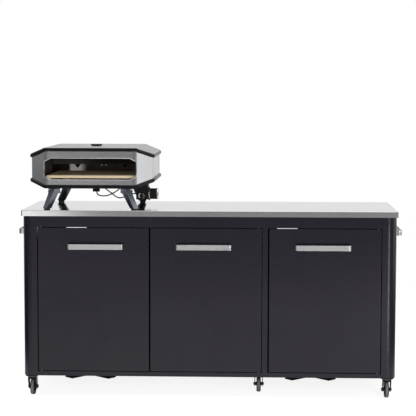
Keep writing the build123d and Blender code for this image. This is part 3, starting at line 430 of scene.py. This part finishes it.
def turned(profile, centre, axis, segments=48):
    """Profile of (radius, height) pairs turned about an axis: centre + height * axis + radius * ring.

    A radius may be an array over the segments, for a ring that isn't round.
    """
    axis = np.array(axis, float)
    aside = np.array((0.0, 0.0, 1.0)) if abs(axis[2]) < 0.9 else np.array((1.0, 0.0, 0.0))
    first = np.cross(aside, axis)
    second = np.cross(axis, first)
    angle = np.arange(segments) * 2 * np.pi / segments
    ring = np.cos(angle)[:, None] * first + np.sin(angle)[:, None] * second
    radius = np.stack([np.broadcast_to(r, (segments,)) for r, _ in profile])
    height = np.array([h for _, h in profile])
    points = np.array(centre) + height[:, None, None] * axis + radius[:, :, None] * ring[None]
    return points, True


def hexagon(flat, segments):
    """Radius of a hexagon over a turn: half its width over the cosine of the angle from the nearest flat."""
    angle = np.arange(segments) * 2 * np.pi / segments
    return flat / np.cos((angle + np.pi / 6) % (np.pi / 3) - np.pi / 6)


def socket_heads(places, axis, radius, height):
    """Low domed screw heads with a hexagon socket in each."""
    socket = hexagon(radius * 0.42, 24)
    profile = [(radius, 0.0), (radius, height * 0.35), (radius * 0.93, height * 0.7),
               (radius * 0.74, height), (socket * 1.06, height), (socket, height * 0.94),
               (socket * 0.96, height * 0.25), (0.0, height * 0.2)]
    return [turned(profile, place, axis, 24) for place in places]


def hex_nuts(places, axis, flat, height):
    """Hexagon nuts with a bevelled face and a domed bolt end."""
    outline = hexagon(flat, 48)
    profile = [(outline, 0.0), (outline, height * 0.8), (np.minimum(outline, flat * 1.02), height),
               (flat * 0.55, height), (flat * 0.55, height * 1.25), (flat * 0.3, height * 1.4),
               (0.0, height * 1.45)]
    return [turned(profile, place, axis, 48) for place in places]


def middle(node):
    """Middle of a node's box."""
    low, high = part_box(node)
    return np.array((low + high) / 2)


CAMERA_LENS = 124.45
CAMERA_PLACE = (0.248, -7.1055, 1.475)
CAMERA_TURN = (85.346, -0.1, 2.128)

camera = bpy.data.objects.new("camera", bpy.data.cameras.new("camera"))
camera.data.lens = CAMERA_LENS
camera.data.sensor_width = 36.0
camera.location = CAMERA_PLACE
camera.rotation_euler = [math.radians(angle) for angle in CAMERA_TURN]
bpy.context.scene.collection.objects.link(camera)
bpy.context.scene.camera = camera


LEAD_DIAMETER = 0.006
IGNITER_LEAD_Y, VALVE_LEAD_Y = 0.0395, 0.0475
IGNITER_ROUTE = [(-4, 68), (-4, 60), (3, 51), (16, 47), (32, 46), (49, 48), (65, 54), (79, 61), (92, 69),
                 (104, 77), (112, 86), (112, 96)]
VALVE_ROUTE = [(36, 96), (36, 86), (44, 78), (58, 68), (73, 57), (86, 46), (99, 38), (113, 36), (128, 39),
               (143, 45), (159, 53), (176, 58), (194, 58)]


def hang_lead(name, route, plane_y, node, finish):
    """Thin lead on one smooth spline in an upright plane across the oven.

    Its control points are the route's, in millimetres from the oven's middle and from the worktop.
    """
    points = np.array([(OVEN_X + x / 1000, plane_y, WORKTOP_TOP + h / 1000, 1.0) for x, h in route])
    curve = bpy.data.curves.new(name, "CURVE")
    curve.dimensions = "3D"
    line = curve.splines.new("NURBS")
    line.points.add(len(points) - 1)
    line.points.foreach_set("co", points.ravel())
    line.order_u = 3
    line.use_endpoint_u = True
    line.resolution_u = 10
    curve.bevel_depth = LEAD_DIAMETER / 2
    curve.bevel_resolution = 3
    curve.use_fill_caps = True
    curve.materials.append(finish)
    lead = bpy.data.objects.new(name, curve)
    bpy.context.scene.collection.objects.link(lead)
    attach(lead, "oven")
    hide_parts(node)


hang_lead("lead_to_igniter", IGNITER_ROUTE, IGNITER_LEAD_Y, "igniter_lead", LEAD_BLACK)
hang_lead("lead_to_valve", VALVE_ROUTE, VALVE_LEAD_Y, "valve_lead", LEAD_GREY)


TYRE_HALF = [(0.0286, 0.0098), (0.0325, 0.0105), (0.0352, 0.0102), (0.0374, 0.0090), (0.0387, 0.0072),
             (0.0392, 0.0054)]
TREAD_HALF = [(0.0388, 0.0056), (0.0393, 0.0055), (0.0395, 0.0050), (0.0395, 0.0010), (0.0392, 0.0006)]
HUB_HALF = [(0.00405, 0.0162), (0.0084, 0.0162), (0.0090, 0.0156), (0.0092, 0.0045), (0.0100, 0.0034),
            (0.0210, 0.0030), (0.0236, 0.0038), (0.0246, 0.0058), (0.0249, 0.0086), (0.0255, 0.0092),
            (0.0277, 0.0092), (0.0285, 0.0086)]
RACE_PROFILE = [(0.0231, 0.0), (0.0242, -0.0006), (0.0246, -0.0030), (0.0242, -0.0054), (0.0231, -0.0060)]
AXLE = (1, 0, 0)
AXLE_END = 0.02055
AXLE_NUT_FLAT, AXLE_NUT_HEIGHT = 0.0070, 0.0042
SWIVEL_TRAIL = 0.022
PLATE_LEVEL = 0.099
PLATE_SCREW_OFFSET = 0.0215
PLATE_SCREW_RADIUS, PLATE_SCREW_HEIGHT = 0.0042, 0.0022
RACE_GAP = 0.001


def mirrored(half, closed):
    """Profile of (radius, height) pairs and its mirror image across the wheel's middle."""
    both = half + [(radius, -height) for radius, height in reversed(half)]
    return both + [half[0]] if closed else both


def build_wheels():
    """Black tyre with a grey band painted on its tread as a highlight, on a dished hub, axle nuts, and screws
    and a race ring on the plate.
    """
    rings = (("tyre", mirrored(TYRE_HALF, True), 64, TYRE),
             # The tread ring's grey is a painted highlight.
             ("tread", mirrored(TREAD_HALF, False), 64, TREAD_HIGHLIGHT),
             ("hub", mirrored(HUB_HALF, True), 48, HUB))
    for name in CASTERS:
        centre = middle(f"caster_wheel_{name}")
        for kind, profile, segments, finish in rings:
            ring = piece(f"{kind}_{name}", [turned(profile, centre, AXLE, segments)], f"wheel_{name}", finish)
            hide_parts(f"caster_wheel_{name}")
        nuts = [sheet for side in (-1, 1)
                for sheet in hex_nuts([centre + np.array((side * AXLE_END, 0, 0))], (side, 0, 0),
                                      AXLE_NUT_FLAT, AXLE_NUT_HEIGHT)]
        piece(f"axle_nuts_{name}", nuts, f"fork_{name}", DARK_ZINC, 25.0)
        plate = np.array((centre[0], centre[1] - SWIVEL_TRAIL, PLATE_LEVEL))
        corners = [plate + np.array((sx, sy, 0)) * PLATE_SCREW_OFFSET for sx in (-1, 1) for sy in (-1, 1)]
        screws = socket_heads(corners, (0, 0, -1), PLATE_SCREW_RADIUS, PLATE_SCREW_HEIGHT)
        piece(f"plate_screws_{name}", screws, "cabinet", DARK_ZINC)
        race = turned(RACE_PROFILE, plate - np.array((0, 0, RACE_GAP)), (0, 0, 1), 48)
        piece(f"race_ring_{name}", [race], "cabinet", DARK_ZINC)


build_wheels()


BACK_SCREW_RADIUS, BACK_SCREW_HEIGHT = 0.0045, 0.0022
BACK_SCREW_INSET_X, BACK_SCREW_INSET_Z = 0.012, 0.010
BACK_SCREWS_ACROSS = {"left": 6, "right": 4}
BACK_SCREWS_UP = 5
DOOR_SHEET = 0.002
HANDLE_SCREW_RADIUS, HANDLE_SCREW_HEIGHT = 0.0055, 0.003
HANDLE_SCREW_INSET = 0.0025


def build_cabinet_fixings():
    """Screw heads round the back panels, and behind each handle inside its door."""
    for side, count in BACK_SCREWS_ACROSS.items():
        low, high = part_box(f"back_panel_{side}")
        across = np.linspace(low.x + BACK_SCREW_INSET_X, high.x - BACK_SCREW_INSET_X, count)
        upright = np.linspace(low.z + BACK_SCREW_INSET_Z, high.z - BACK_SCREW_INSET_Z, BACK_SCREWS_UP)
        places = [(x, high.y, z) for x in across for z in (upright[0], upright[-1])]
        places += [(x, high.y, z) for x in (across[0], across[-1]) for z in upright[1:-1]]
        screws = socket_heads(places, (0, 1, 0), BACK_SCREW_RADIUS, BACK_SCREW_HEIGHT)
        piece(f"back_screws_{side}", screws, "cabinet", DARK_ZINC)
    for name in DOORS:
        low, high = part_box(f"handle_{name}")
        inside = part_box(f"door_{name}")[0].y + DOOR_SHEET
        level = (low.z + high.z) / 2
        places = [(x, inside, level) for x in (low.x + HANDLE_SCREW_INSET, high.x - HANDLE_SCREW_INSET)]
        screws = socket_heads(places, (0, 1, 0), HANDLE_SCREW_RADIUS, HANDLE_SCREW_HEIGHT)
        piece(f"handle_screws_{name}", screws, f"{name}_door", SCREW)


build_cabinet_fixings()


DIAL_RADIUS = 0.0248
DIAL_SINK = 0.0015
DIAL_PROFILE = [(0.0, 0.00008), (0.0125, 0.00008), (DIAL_RADIUS, 0.00008), (DIAL_RADIUS, -0.00002)]
LENS_PROFILE = [(0.0249, 0.0008), (0.0249, 0.0013), (0.020, 0.0016), (0.012, 0.0019), (0.0, 0.0020),
                (0.0, 0.0010), (0.012, 0.0010), (0.0249, 0.0008)]
NEEDLE_TAIL, NEEDLE_TIP = -0.006, 0.019
NEEDLE_HALF_WIDTHS = (0.0012, 0.0014, 0.0003)
NEEDLE_SECTION = ((-1, 0.00035), (1, 0.00035), (1, 0.00065), (-1, 0.00065))
NEEDLE_TURN = math.radians(128.0)
NEEDLE_HUB = [(0.0022, 0.0001), (0.0022, 0.0007), (0.0012, 0.0009), (0.0, 0.0009)]


def build_dial():
    """Dial under a low glass lens in the housing on the roof, with a tapered needle on its pin.

    The needle is a four-cornered section carried from its tail to its tip. Its half width changes on the
    way, and each end is closed in its own middle.
    """
    low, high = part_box("thermometer")
    centre = np.array(((low.x + high.x) / 2, (low.y + high.y) / 2, high.z - DIAL_SINK))
    rise = np.array((0.0, 0.0, 1.0))
    finish = dial_finish(centre, DIAL_RADIUS)
    piece("dial_face", [turned(DIAL_PROFILE, centre, rise, 64)], "oven", finish)
    piece("dial_lens", [turned(LENS_PROFILE, centre, rise, 64)], "oven", GLASS)
    along = np.linspace(NEEDLE_TAIL, NEEDLE_TIP, 6)
    width = np.interp(along, (NEEDLE_TAIL, 0.0, NEEDLE_TIP), NEEDLE_HALF_WIDTHS)
    ahead = np.array((math.sin(NEEDLE_TURN), math.cos(NEEDLE_TURN), 0.0))
    aside = np.array((ahead[1], -ahead[0], 0.0))
    section = np.array(NEEDLE_SECTION)
    needle = (centre + along[:, None, None] * ahead
              + (width[:, None] * section[None, :, 0])[..., None] * aside
              + section[None, :, 1, None] * rise)
    ends = np.stack([np.broadcast_to(needle[row].mean(0), (4, 3)) for row in (0, -1)])
    closed = np.concatenate([ends[:1], needle, ends[1:]])
    sheets = [(closed, True), turned(NEEDLE_HUB, centre, rise, 24)]
    piece("dial_needle", sheets, "oven", NEEDLE, 30.0)


build_dial()


KNOB_FLANGE_X = OVEN_X + 0.2533
FLANGE_RING = [(0.0274, 0.0080), (0.0274, 0.0084), (0.0320, 0.0084), (0.0330, 0.0080), (0.0333, 0.0072),
               (0.0333, 0.0010), (0.0328, 0.0003), (0.0320, 0.0003)]
END_RING = [(0.0266, -0.0068), (0.0272, -0.0068), (0.0273, -0.0060), (0.0273, -0.0012), (0.0268, -0.0003),
            (0.0255, 0.0002)]
END_PLATE = [(0.0215, -0.0002), (0.0215, 0.0005), (0.0205, 0.0009), (0.0, 0.0009)]
POINTER_ALONG = (0.001, 0.002, 0.019, 0.020)
POINTER_HALF_WIDTHS = (0.00078, 0.0013, 0.0013, 0.00078)
POINTER_FOOT, POINTER_TOP, POINTER_TAPER = 0.0007, 0.0016, 0.8


def build_knob_trim():
    """Bright rings round the knob's flange and end, a pale end plate, and the pointer bar on it.

    The bar runs up the plate: its half width narrows at both ends, and its top is narrower than its foot.
    """
    low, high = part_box("control_knob")
    axis = (1, 0, 0)
    flange = np.array((KNOB_FLANGE_X, (low.y + high.y) / 2, (low.z + high.z) / 2))
    end = np.array((high.x, flange[1], flange[2]))
    piece("knob_ring", [turned(FLANGE_RING, flange, axis, 64)], "knob", BRASS)
    piece("knob_end_ring", [turned(END_RING, end, axis, 64)], "knob", BRASS)
    piece("knob_end_plate", [turned(END_PLATE, end, axis, 48)], "knob", BRASS)
    along, wide = np.array(POINTER_ALONG), np.array(POINTER_HALF_WIDTHS)
    corners = ((-1, POINTER_FOOT), (-POINTER_TAPER, POINTER_TOP),
               (POINTER_TAPER, POINTER_TOP), (1, POINTER_FOOT))
    bar = np.stack([np.stack([np.full(4, end[0] + rise), end[1] + side * wide, end[2] + along], axis=-1)
                    for side, rise in corners], axis=1)
    piece("knob_pointer", [(bar, True)], "knob", NEEDLE, 30.0)


build_knob_trim()


BEZEL_FRONT = OVEN_FRONT + 0.303
BUTTON_RING = [(0.0088, 0.0), (0.0089, 0.0006), (0.0110, 0.0010), (0.0130, 0.0020), (0.0141, 0.0034),
               (0.0147, 0.0038), (0.0153, 0.0034), (0.0157, 0.0022), (0.0157, -0.0030)]


def build_button_ring():
    """Polished dished ring in front of the bezel round the ignition button."""
    low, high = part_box("ignition_button")
    front = np.array(((low.x + high.x) / 2, BEZEL_FRONT, (low.z + high.z) / 2))
    piece("button_ring", [turned(BUTTON_RING, front, (0, -1, 0), 64)], "oven", SCREW)


build_button_ring()


TAIL_ROOT = (OVEN_X + 0.224, OVEN_FRONT + 0.392, WORKTOP_TOP + 0.060)
BARB_START, BARB_PITCH, BARB_COUNT = 0.0125, 0.0055, 4
BARB_FOOT, BARB_CREST = 0.00503, 0.0058
BARB_RISE, BARB_LENGTH = 0.0006, 0.005
TAIL_NUT_OUTLINE = hexagon(0.0091, 48)
TAIL_NUT = [(TAIL_NUT_OUTLINE, 0.0004), (TAIL_NUT_OUTLINE, 0.0074), (0.0090, 0.0084), (0.0050, 0.0084)]


def build_hose_barbs():
    """Saw-tooth rings on the hose tail and a hexagon over its nut."""
    steps = np.arange(BARB_COUNT) * BARB_PITCH + BARB_START
    teeth = [pair for start in steps
             for pair in ((BARB_FOOT, start), (BARB_CREST, start + BARB_RISE),
                          (BARB_FOOT, start + BARB_LENGTH))]
    sheets = [turned(profile, TAIL_ROOT, (0, 1, 0), 48) for profile in (teeth, TAIL_NUT)]
    piece("hose_barbs", sheets, "oven", BRASS, 30.0)


build_hose_barbs()


FOLD_X, WALL_X, FACET = 0.221, 0.302, 0.100
BEND, CORNER = 0.038, 0.014
ROOF_TOP, ROOF_DROP, BASE_LOW, BASE_RISE = 0.298, 0.033, 0.104, 0.027
BASE_SHEET = 0.002
BASE_FRONT_GAP, BASE_REAR_GAP = 0.007, 0.006
BASE_WIDTH_SHARE, BASE_SLOPE_SHARE = 0.98, 0.93
ROOF_RIM = [(-8.0, -17.0), (-5.0, -17.0), (-2.2, -16.3), (-0.7, -14.8), (-0.1, -12.4), (0.0, -8.5),
            (-0.1, -4.6), (-0.7, -2.2), (-1.8, -0.7), (-3.0, -0.1), (-3.0, -2.0), (-8.0, -2.0)]
BASE_RIM = [(-8.0, 0.0), (-5.0, 0.0), (-2.2, 0.7), (-0.7, 2.2), (-0.1, 4.6), (0.0, 8.5), (-0.1, 12.4),
            (-0.7, 14.8), (-2.2, 16.3), (-5.0, 17.0), (-8.0, 17.0)]
LEAD_BOSS = [(0.0080, 0.0), (0.0080, -0.0068), (0.0076, -0.0077), (0.0068, -0.0080), (0.0, -0.0080)]


def oven_plan():
    """Outline of the oven from above: every corner is an arc of its own radius between its two sides.

    An arc starts on one side at radius * tan(half the turn) from the corner and swings about the point that
    lies a radius inside that side. The folds of the roof cross the rear side as two more points.
    """
    x = np.array((-FOLD_X, FOLD_X, WALL_X, WALL_X, -WALL_X, -WALL_X))
    y = np.array((OVEN_FRONT, OVEN_FRONT, OVEN_FRONT + FACET, OVEN_REAR, OVEN_REAR, OVEN_FRONT + FACET))
    radius = np.array((BEND, BEND, CORNER, CORNER, CORNER, CORNER))
    corner = np.stack((x, y), axis=-1)
    ahead = np.roll(corner, -1, axis=0) - corner
    ahead /= np.linalg.norm(ahead, axis=1)[:, None]
    behind = np.roll(ahead, 1, axis=0)
    turn = np.arccos((ahead * behind).sum(axis=1))
    inward = np.stack((-behind[:, 1], behind[:, 0]), axis=-1)
    start = corner - behind * (radius * np.tan(turn / 2))[:, None]
    centre = start + inward * radius[:, None]
    angle = turn[:, None] * np.linspace(0.0, 1.0, 9)
    arm = (np.sin(angle)[..., None] * behind[:, None] - np.cos(angle)[..., None] * inward[:, None])
    arcs = centre[:, None] + arm * radius[:, None, None]
    folds = np.array(((FOLD_X, OVEN_REAR), (-FOLD_X, OVEN_REAR)))
    return np.concatenate((arcs[:4].reshape(-1, 2), folds, arcs[4:].reshape(-1, 2)))


def mitres(outline):
    """Outward vectors at the points of a closed outline, along the sum of the two sides' normals.

    Each is twice that sum over its own square, so that both sides move out by the same width.
    """
    side = np.roll(outline, -1, axis=0) - outline
    normal = np.stack((side[:, 1], -side[:, 0]), axis=-1) / np.linalg.norm(side, axis=1)[:, None]
    total = normal + np.roll(normal, 1, axis=0)
    return 2 * total / (total ** 2).sum(axis=1)[:, None]


def oven_rim(profile, level, change):
    """Profile of (outward, up) pairs in millimetres run round the oven and mitred at every point of its plan.

    Its height changes by the given amount between the folds and the walls.
    """
    plan = oven_plan()
    slope = np.clip((np.abs(plan[:, 0]) - FOLD_X) / (WALL_X - FOLD_X), 0.0, 1.0)
    out, up = np.array(profile).T / 1000
    flat = plan[None] + out[:, None, None] * mitres(plan)[None] + np.array((OVEN_X, 0.0))
    height = WORKTOP_TOP + level + change * slope[None] + up[:, None]
    rim = np.concatenate((flat, height[..., None]), axis=-1)
    return np.concatenate((rim, rim[:1])), True


def base_sheet(lift):
    """Folded sheet between the rims: y runs from the front edge, cut back beyond the folds, to the rear."""
    x = np.array((-WALL_X, -FOLD_X, FOLD_X, WALL_X)) * BASE_WIDTH_SHARE
    slope = np.array((1, 0, 0, 1)) * BASE_SLOPE_SHARE
    front = OVEN_FRONT + BASE_FRONT_GAP + FACET * slope
    y = front + np.array((0.0, 1.0))[:, None] * (OVEN_REAR - BASE_REAR_GAP - front)
    z = WORKTOP_TOP + BASE_LOW + lift + BASE_RISE * slope
    return np.stack(np.broadcast_arrays(OVEN_X + x, y, z), axis=-1), False


def build_oven_rims():
    """Rounded trim round the roof, and the base tray with its rounded rim and the leads' bosses."""
    rim = oven_rim(ROOF_RIM, ROOF_TOP, -ROOF_DROP)
    trim = piece("roof_rim", [rim], "oven", OVEN_BLACK, 38.0)
    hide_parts("oven_roof_trim")
    sheets = [oven_rim(BASE_RIM, BASE_LOW, BASE_RISE), base_sheet(0.0), base_sheet(BASE_SHEET)]
    for x, y in ((IGNITER_ROUTE[-1][0], IGNITER_LEAD_Y), (VALVE_ROUTE[0][0], VALVE_LEAD_Y)):
        sheets.append(turned(LEAD_BOSS, (OVEN_X + x / 1000, y, WORKTOP_TOP + BASE_LOW), (0, 0, 1), 32))
    base = piece("base_tray", sheets, "oven", OVEN_BLACK, 38.0)
    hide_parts("oven_base")


build_oven_rims()


MOUTH_HALF, MOUTH_LOW, MOUTH_HIGH = 0.2215, 0.1445, 0.249
MOUTH_CUT_X, MOUTH_CUT_Z = 0.032, 0.017
LIP_RADIUS = 0.0024


def build_mouth_lip():
    """Rolled edge round the mouth: a round section carried along its outline, mitred at the eight corners."""
    narrow, low, high = MOUTH_HALF - MOUTH_CUT_X, MOUTH_LOW + MOUTH_CUT_Z, MOUTH_HIGH - MOUTH_CUT_Z
    x = np.array((-MOUTH_HALF, -narrow, narrow, MOUTH_HALF, MOUTH_HALF, narrow, -narrow, -MOUTH_HALF))
    z = np.array((low, MOUTH_LOW, MOUTH_LOW, low, high, MOUTH_HIGH, MOUTH_HIGH, high))
    outline = np.stack((x, z), axis=-1)
    angle = np.arange(16) * 2 * np.pi / 16
    flat = outline[None] + (LIP_RADIUS * np.cos(angle))[:, None, None] * mitres(outline)[None]
    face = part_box("oven_front")[0].y
    depth = np.broadcast_to(face + LIP_RADIUS * (np.sin(angle) + 0.5)[:, None], flat.shape[:2])
    rim = np.stack((OVEN_X + flat[..., 0], depth, WORKTOP_TOP + flat[..., 1]), axis=-1)
    piece("mouth_lip", [(np.concatenate((rim, rim[:1])), True)], "oven", OVEN_STEEL, 50.0)


build_mouth_lip()


OVEN_SCREWS_X = np.linspace(OVEN_X - 0.25, OVEN_X + 0.25, 5)
OVEN_SCREWS_Z = (0.152, 0.246)
OVEN_SCREW_RADIUS, OVEN_SCREW_HEIGHT = 0.0042, 0.0024
LEG_PIN_X, LEG_PIN_Z, LEG_PIN_HALF = 0.174, 0.088, 0.0273
LEG_PIN_FRONT, LEG_PIN_REAR = OVEN_FRONT + 0.020, OVEN_REAR - 0.044
LEG_PIN_RADIUS, LEG_PIN_HEIGHT = 0.0052, 0.0028
SPARKS_X, SPARKS_Z = (0.003, 0.024), 0.1925
SPARK_RADIUS, SPARK_HEIGHT = 0.0052, 0.003


def build_oven_fixings():
    """Screws on the back wall, pin heads on the legs' brackets, and ceramic spark tips on the heat shield."""
    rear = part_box("oven_shell")[1].y
    places = [(x, rear, WORKTOP_TOP + z) for x in OVEN_SCREWS_X for z in OVEN_SCREWS_Z]
    screws = socket_heads(places, (0, 1, 0), OVEN_SCREW_RADIUS, OVEN_SCREW_HEIGHT)
    piece("oven_back_screws", screws, "oven", SCREW)
    heads = []
    for name in LEGS:
        x = OVEN_X + (-LEG_PIN_X if "left" in name else LEG_PIN_X)
        y = LEG_PIN_FRONT if "front" in name else LEG_PIN_REAR
        for side in (-1, 1):
            place = (x + side * LEG_PIN_HALF, y, WORKTOP_TOP + LEG_PIN_Z)
            heads += socket_heads([place], (side, 0, 0), LEG_PIN_RADIUS, LEG_PIN_HEIGHT)
    piece("leg_pin_heads", heads, "oven", SCREW)
    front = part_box("heat_shield")[0].y
    sparks = [(OVEN_X + x, front, WORKTOP_TOP + SPARKS_Z) for x in SPARKS_X]
    tips = socket_heads(sparks, (0, -1, 0), SPARK_RADIUS, SPARK_HEIGHT)
    piece("spark_screws", tips, "oven", CERAMIC)


build_oven_fixings()


WHITE = (1.0, 1.0, 1.0, 1.0)
FLOOR_HALF, FLOOR_FRONT, FLOOR_REAR = 1.7, -4.5, 3.0
FLOOR_GREY, FLOOR_GLOW = 0.48, 0.86
FILL_LIGHT = 0.32
# Name, place, aim, size, power, whether it lights matt surfaces, whether gloss shows it.
LAMPS = (
    ("top_lamp", (0.3, -0.6, 4.2), (0.0, 0.1, 0.0), (3.2, 3.2), 70.0, True, True),
    ("key_lamp", (1.66, -3.84, 1.25), (0.0, 0.0, 0.9), (0.8, 0.8), 50.0, True, False),
    ("front_lamp", (-0.3, -6.2, 1.9), (-0.5, 0.0, 1.0), (0.8, 0.8), 60.0, True, False),
    ("right_lamp", (4.6, 0.1, 1.3), (0.0, 0.0, 0.9), (2.6, 2.6), 22.0, False, True),
    ("strip_lamp", (1.33, -1.42, 0.40), (0.9, -0.3, 0.40), (0.12, 0.70), 3.2, False, True),
)


def rays_that_see(tree):
    """One for rays from the camera, off gloss and through glass, and one for those from the camera alone."""
    path = put(tree, "LightPath")
    camera_ray = path.outputs["Is Camera Ray"]
    shiny = calc(tree, "MAXIMUM", path.outputs["Is Glossy Ray"], path.outputs["Is Transmission Ray"])
    return calc(tree, "MAXIMUM", camera_ray, shiny), camera_ray


def build_floor():
    """Pale floor that looks white and keeps the shadow."""
    mesh = bpy.data.meshes.new("floor")
    corners = [(-FLOOR_HALF, FLOOR_FRONT, 0), (FLOOR_HALF, FLOOR_FRONT, 0), (FLOOR_HALF, FLOOR_REAR, 0),
               (-FLOOR_HALF, FLOOR_REAR, 0)]
    mesh.from_pydata(corners, [], [(0, 1, 2, 3)])
    floor = bpy.data.objects.new("floor", mesh)
    bpy.context.scene.collection.objects.link(floor)
    material = bpy.data.materials.new("floor")
    material.use_nodes = True
    tree = material.node_tree
    tree.nodes.clear()
    seen, _ = rays_that_see(tree)
    matt = put(tree, "BsdfDiffuse", Color=(FLOOR_GREY, FLOOR_GREY, FLOOR_GREY, 1.0))
    glow = put(tree, "Emission", Color=WHITE, Strength=calc(tree, "MULTIPLY", seen, FLOOR_GLOW))
    both = put(tree, "AddShader")
    tree.links.new(matt.outputs[0], both.inputs[0])
    tree.links.new(glow.outputs[0], both.inputs[1])
    tree.links.new(both.outputs[0], put(tree, "OutputMaterial").inputs["Surface"])
    mesh.materials.append(material)


def build_room():
    """White room for the camera; gloss shows walls that darken upwards in front and downwards at the sides.

    In front they carry a window on the left and a level strip, which the worktop's edge shows. The ceiling
    and the rear wall are bright.
    """
    world = bpy.data.worlds.new("studio")
    bpy.context.scene.world = world
    world.use_nodes = True
    tree = world.node_tree
    tree.nodes.clear()
    seen, camera_ray = rays_that_see(tree)
    way = put(tree, "SeparateXYZ", Vector=put(tree, "TexCoord").outputs["Generated"])
    x, y, z = way.outputs
    ahead = spread(tree, y, -0.75, -0.25, 1.0, 0.0)
    level = spread(tree, z, -0.205, -0.068, 1.03, 0.06)
    inside = calc(tree, "MULTIPLY", spread(tree, x, -0.24, -0.20, 0.0, 1.0),
                  spread(tree, z, -0.080, -0.068, 1.0, 0.0))
    window = calc(tree, "MULTIPLY", spread(tree, x, -0.160, -0.12, 1.9, 0.0), inside)
    fall = calc(tree, "ABSOLUTE", calc(tree, "ADD", z, 0.0857))
    strip = spread(tree, fall, 0.005, 0.012, 0.54, 0.0)
    front = calc(tree, "ADD", level, calc(tree, "ADD", window, strip))
    low = spread(tree, z, -0.070, -0.062, 0.04, 0.92)
    flank = calc(tree, "MULTIPLY", spread(tree, x, -0.85, -0.40, 0.56, 1.0), low)
    walls = calc(tree, "ADD", calc(tree, "MULTIPLY", ahead, front),
                 calc(tree, "MULTIPLY", calc(tree, "SUBTRACT", 1.0, ahead), flank))
    ceiling = spread(tree, z, 0.12, 0.30, 0.0, 0.85)
    rear = spread(tree, y, 0.5, 0.8, 0.0, 0.8)
    room = calc(tree, "MAXIMUM", walls, calc(tree, "MAXIMUM", ceiling, rear))
    shown = calc(tree, "MAXIMUM", camera_ray, room)
    strength = calc(tree, "ADD", calc(tree, "MULTIPLY", seen, shown),
                    calc(tree, "MULTIPLY", calc(tree, "SUBTRACT", 1.0, seen), FILL_LIGHT))
    back = put(tree, "Background", Color=WHITE, Strength=strength)
    tree.links.new(back.outputs[0], put(tree, "OutputWorld").inputs["Surface"])


def build_lamps():
    """Soft rectangular lamps, each turned from its place towards its aim."""
    for name, place, aim, size, power, spreads, mirrors in LAMPS:
        lamp = bpy.data.lights.new(name, "AREA")
        lamp.shape = "RECTANGLE"
        lamp.size, lamp.size_y = size
        lamp.energy = power
        made = bpy.data.objects.new(name, lamp)
        made.location = place
        made.visible_diffuse = spreads
        made.visible_glossy = mirrors
        way = np.array(aim) - np.array(place)
        tilt = math.acos(-way[2] / np.linalg.norm(way))
        made.rotation_euler = (tilt, 0.0, math.atan2(way[1], way[0]) - math.pi / 2)
        bpy.context.scene.collection.objects.link(made)


build_floor()
build_room()
build_lamps()
bpy.context.scene.view_settings.view_transform = "Standard"
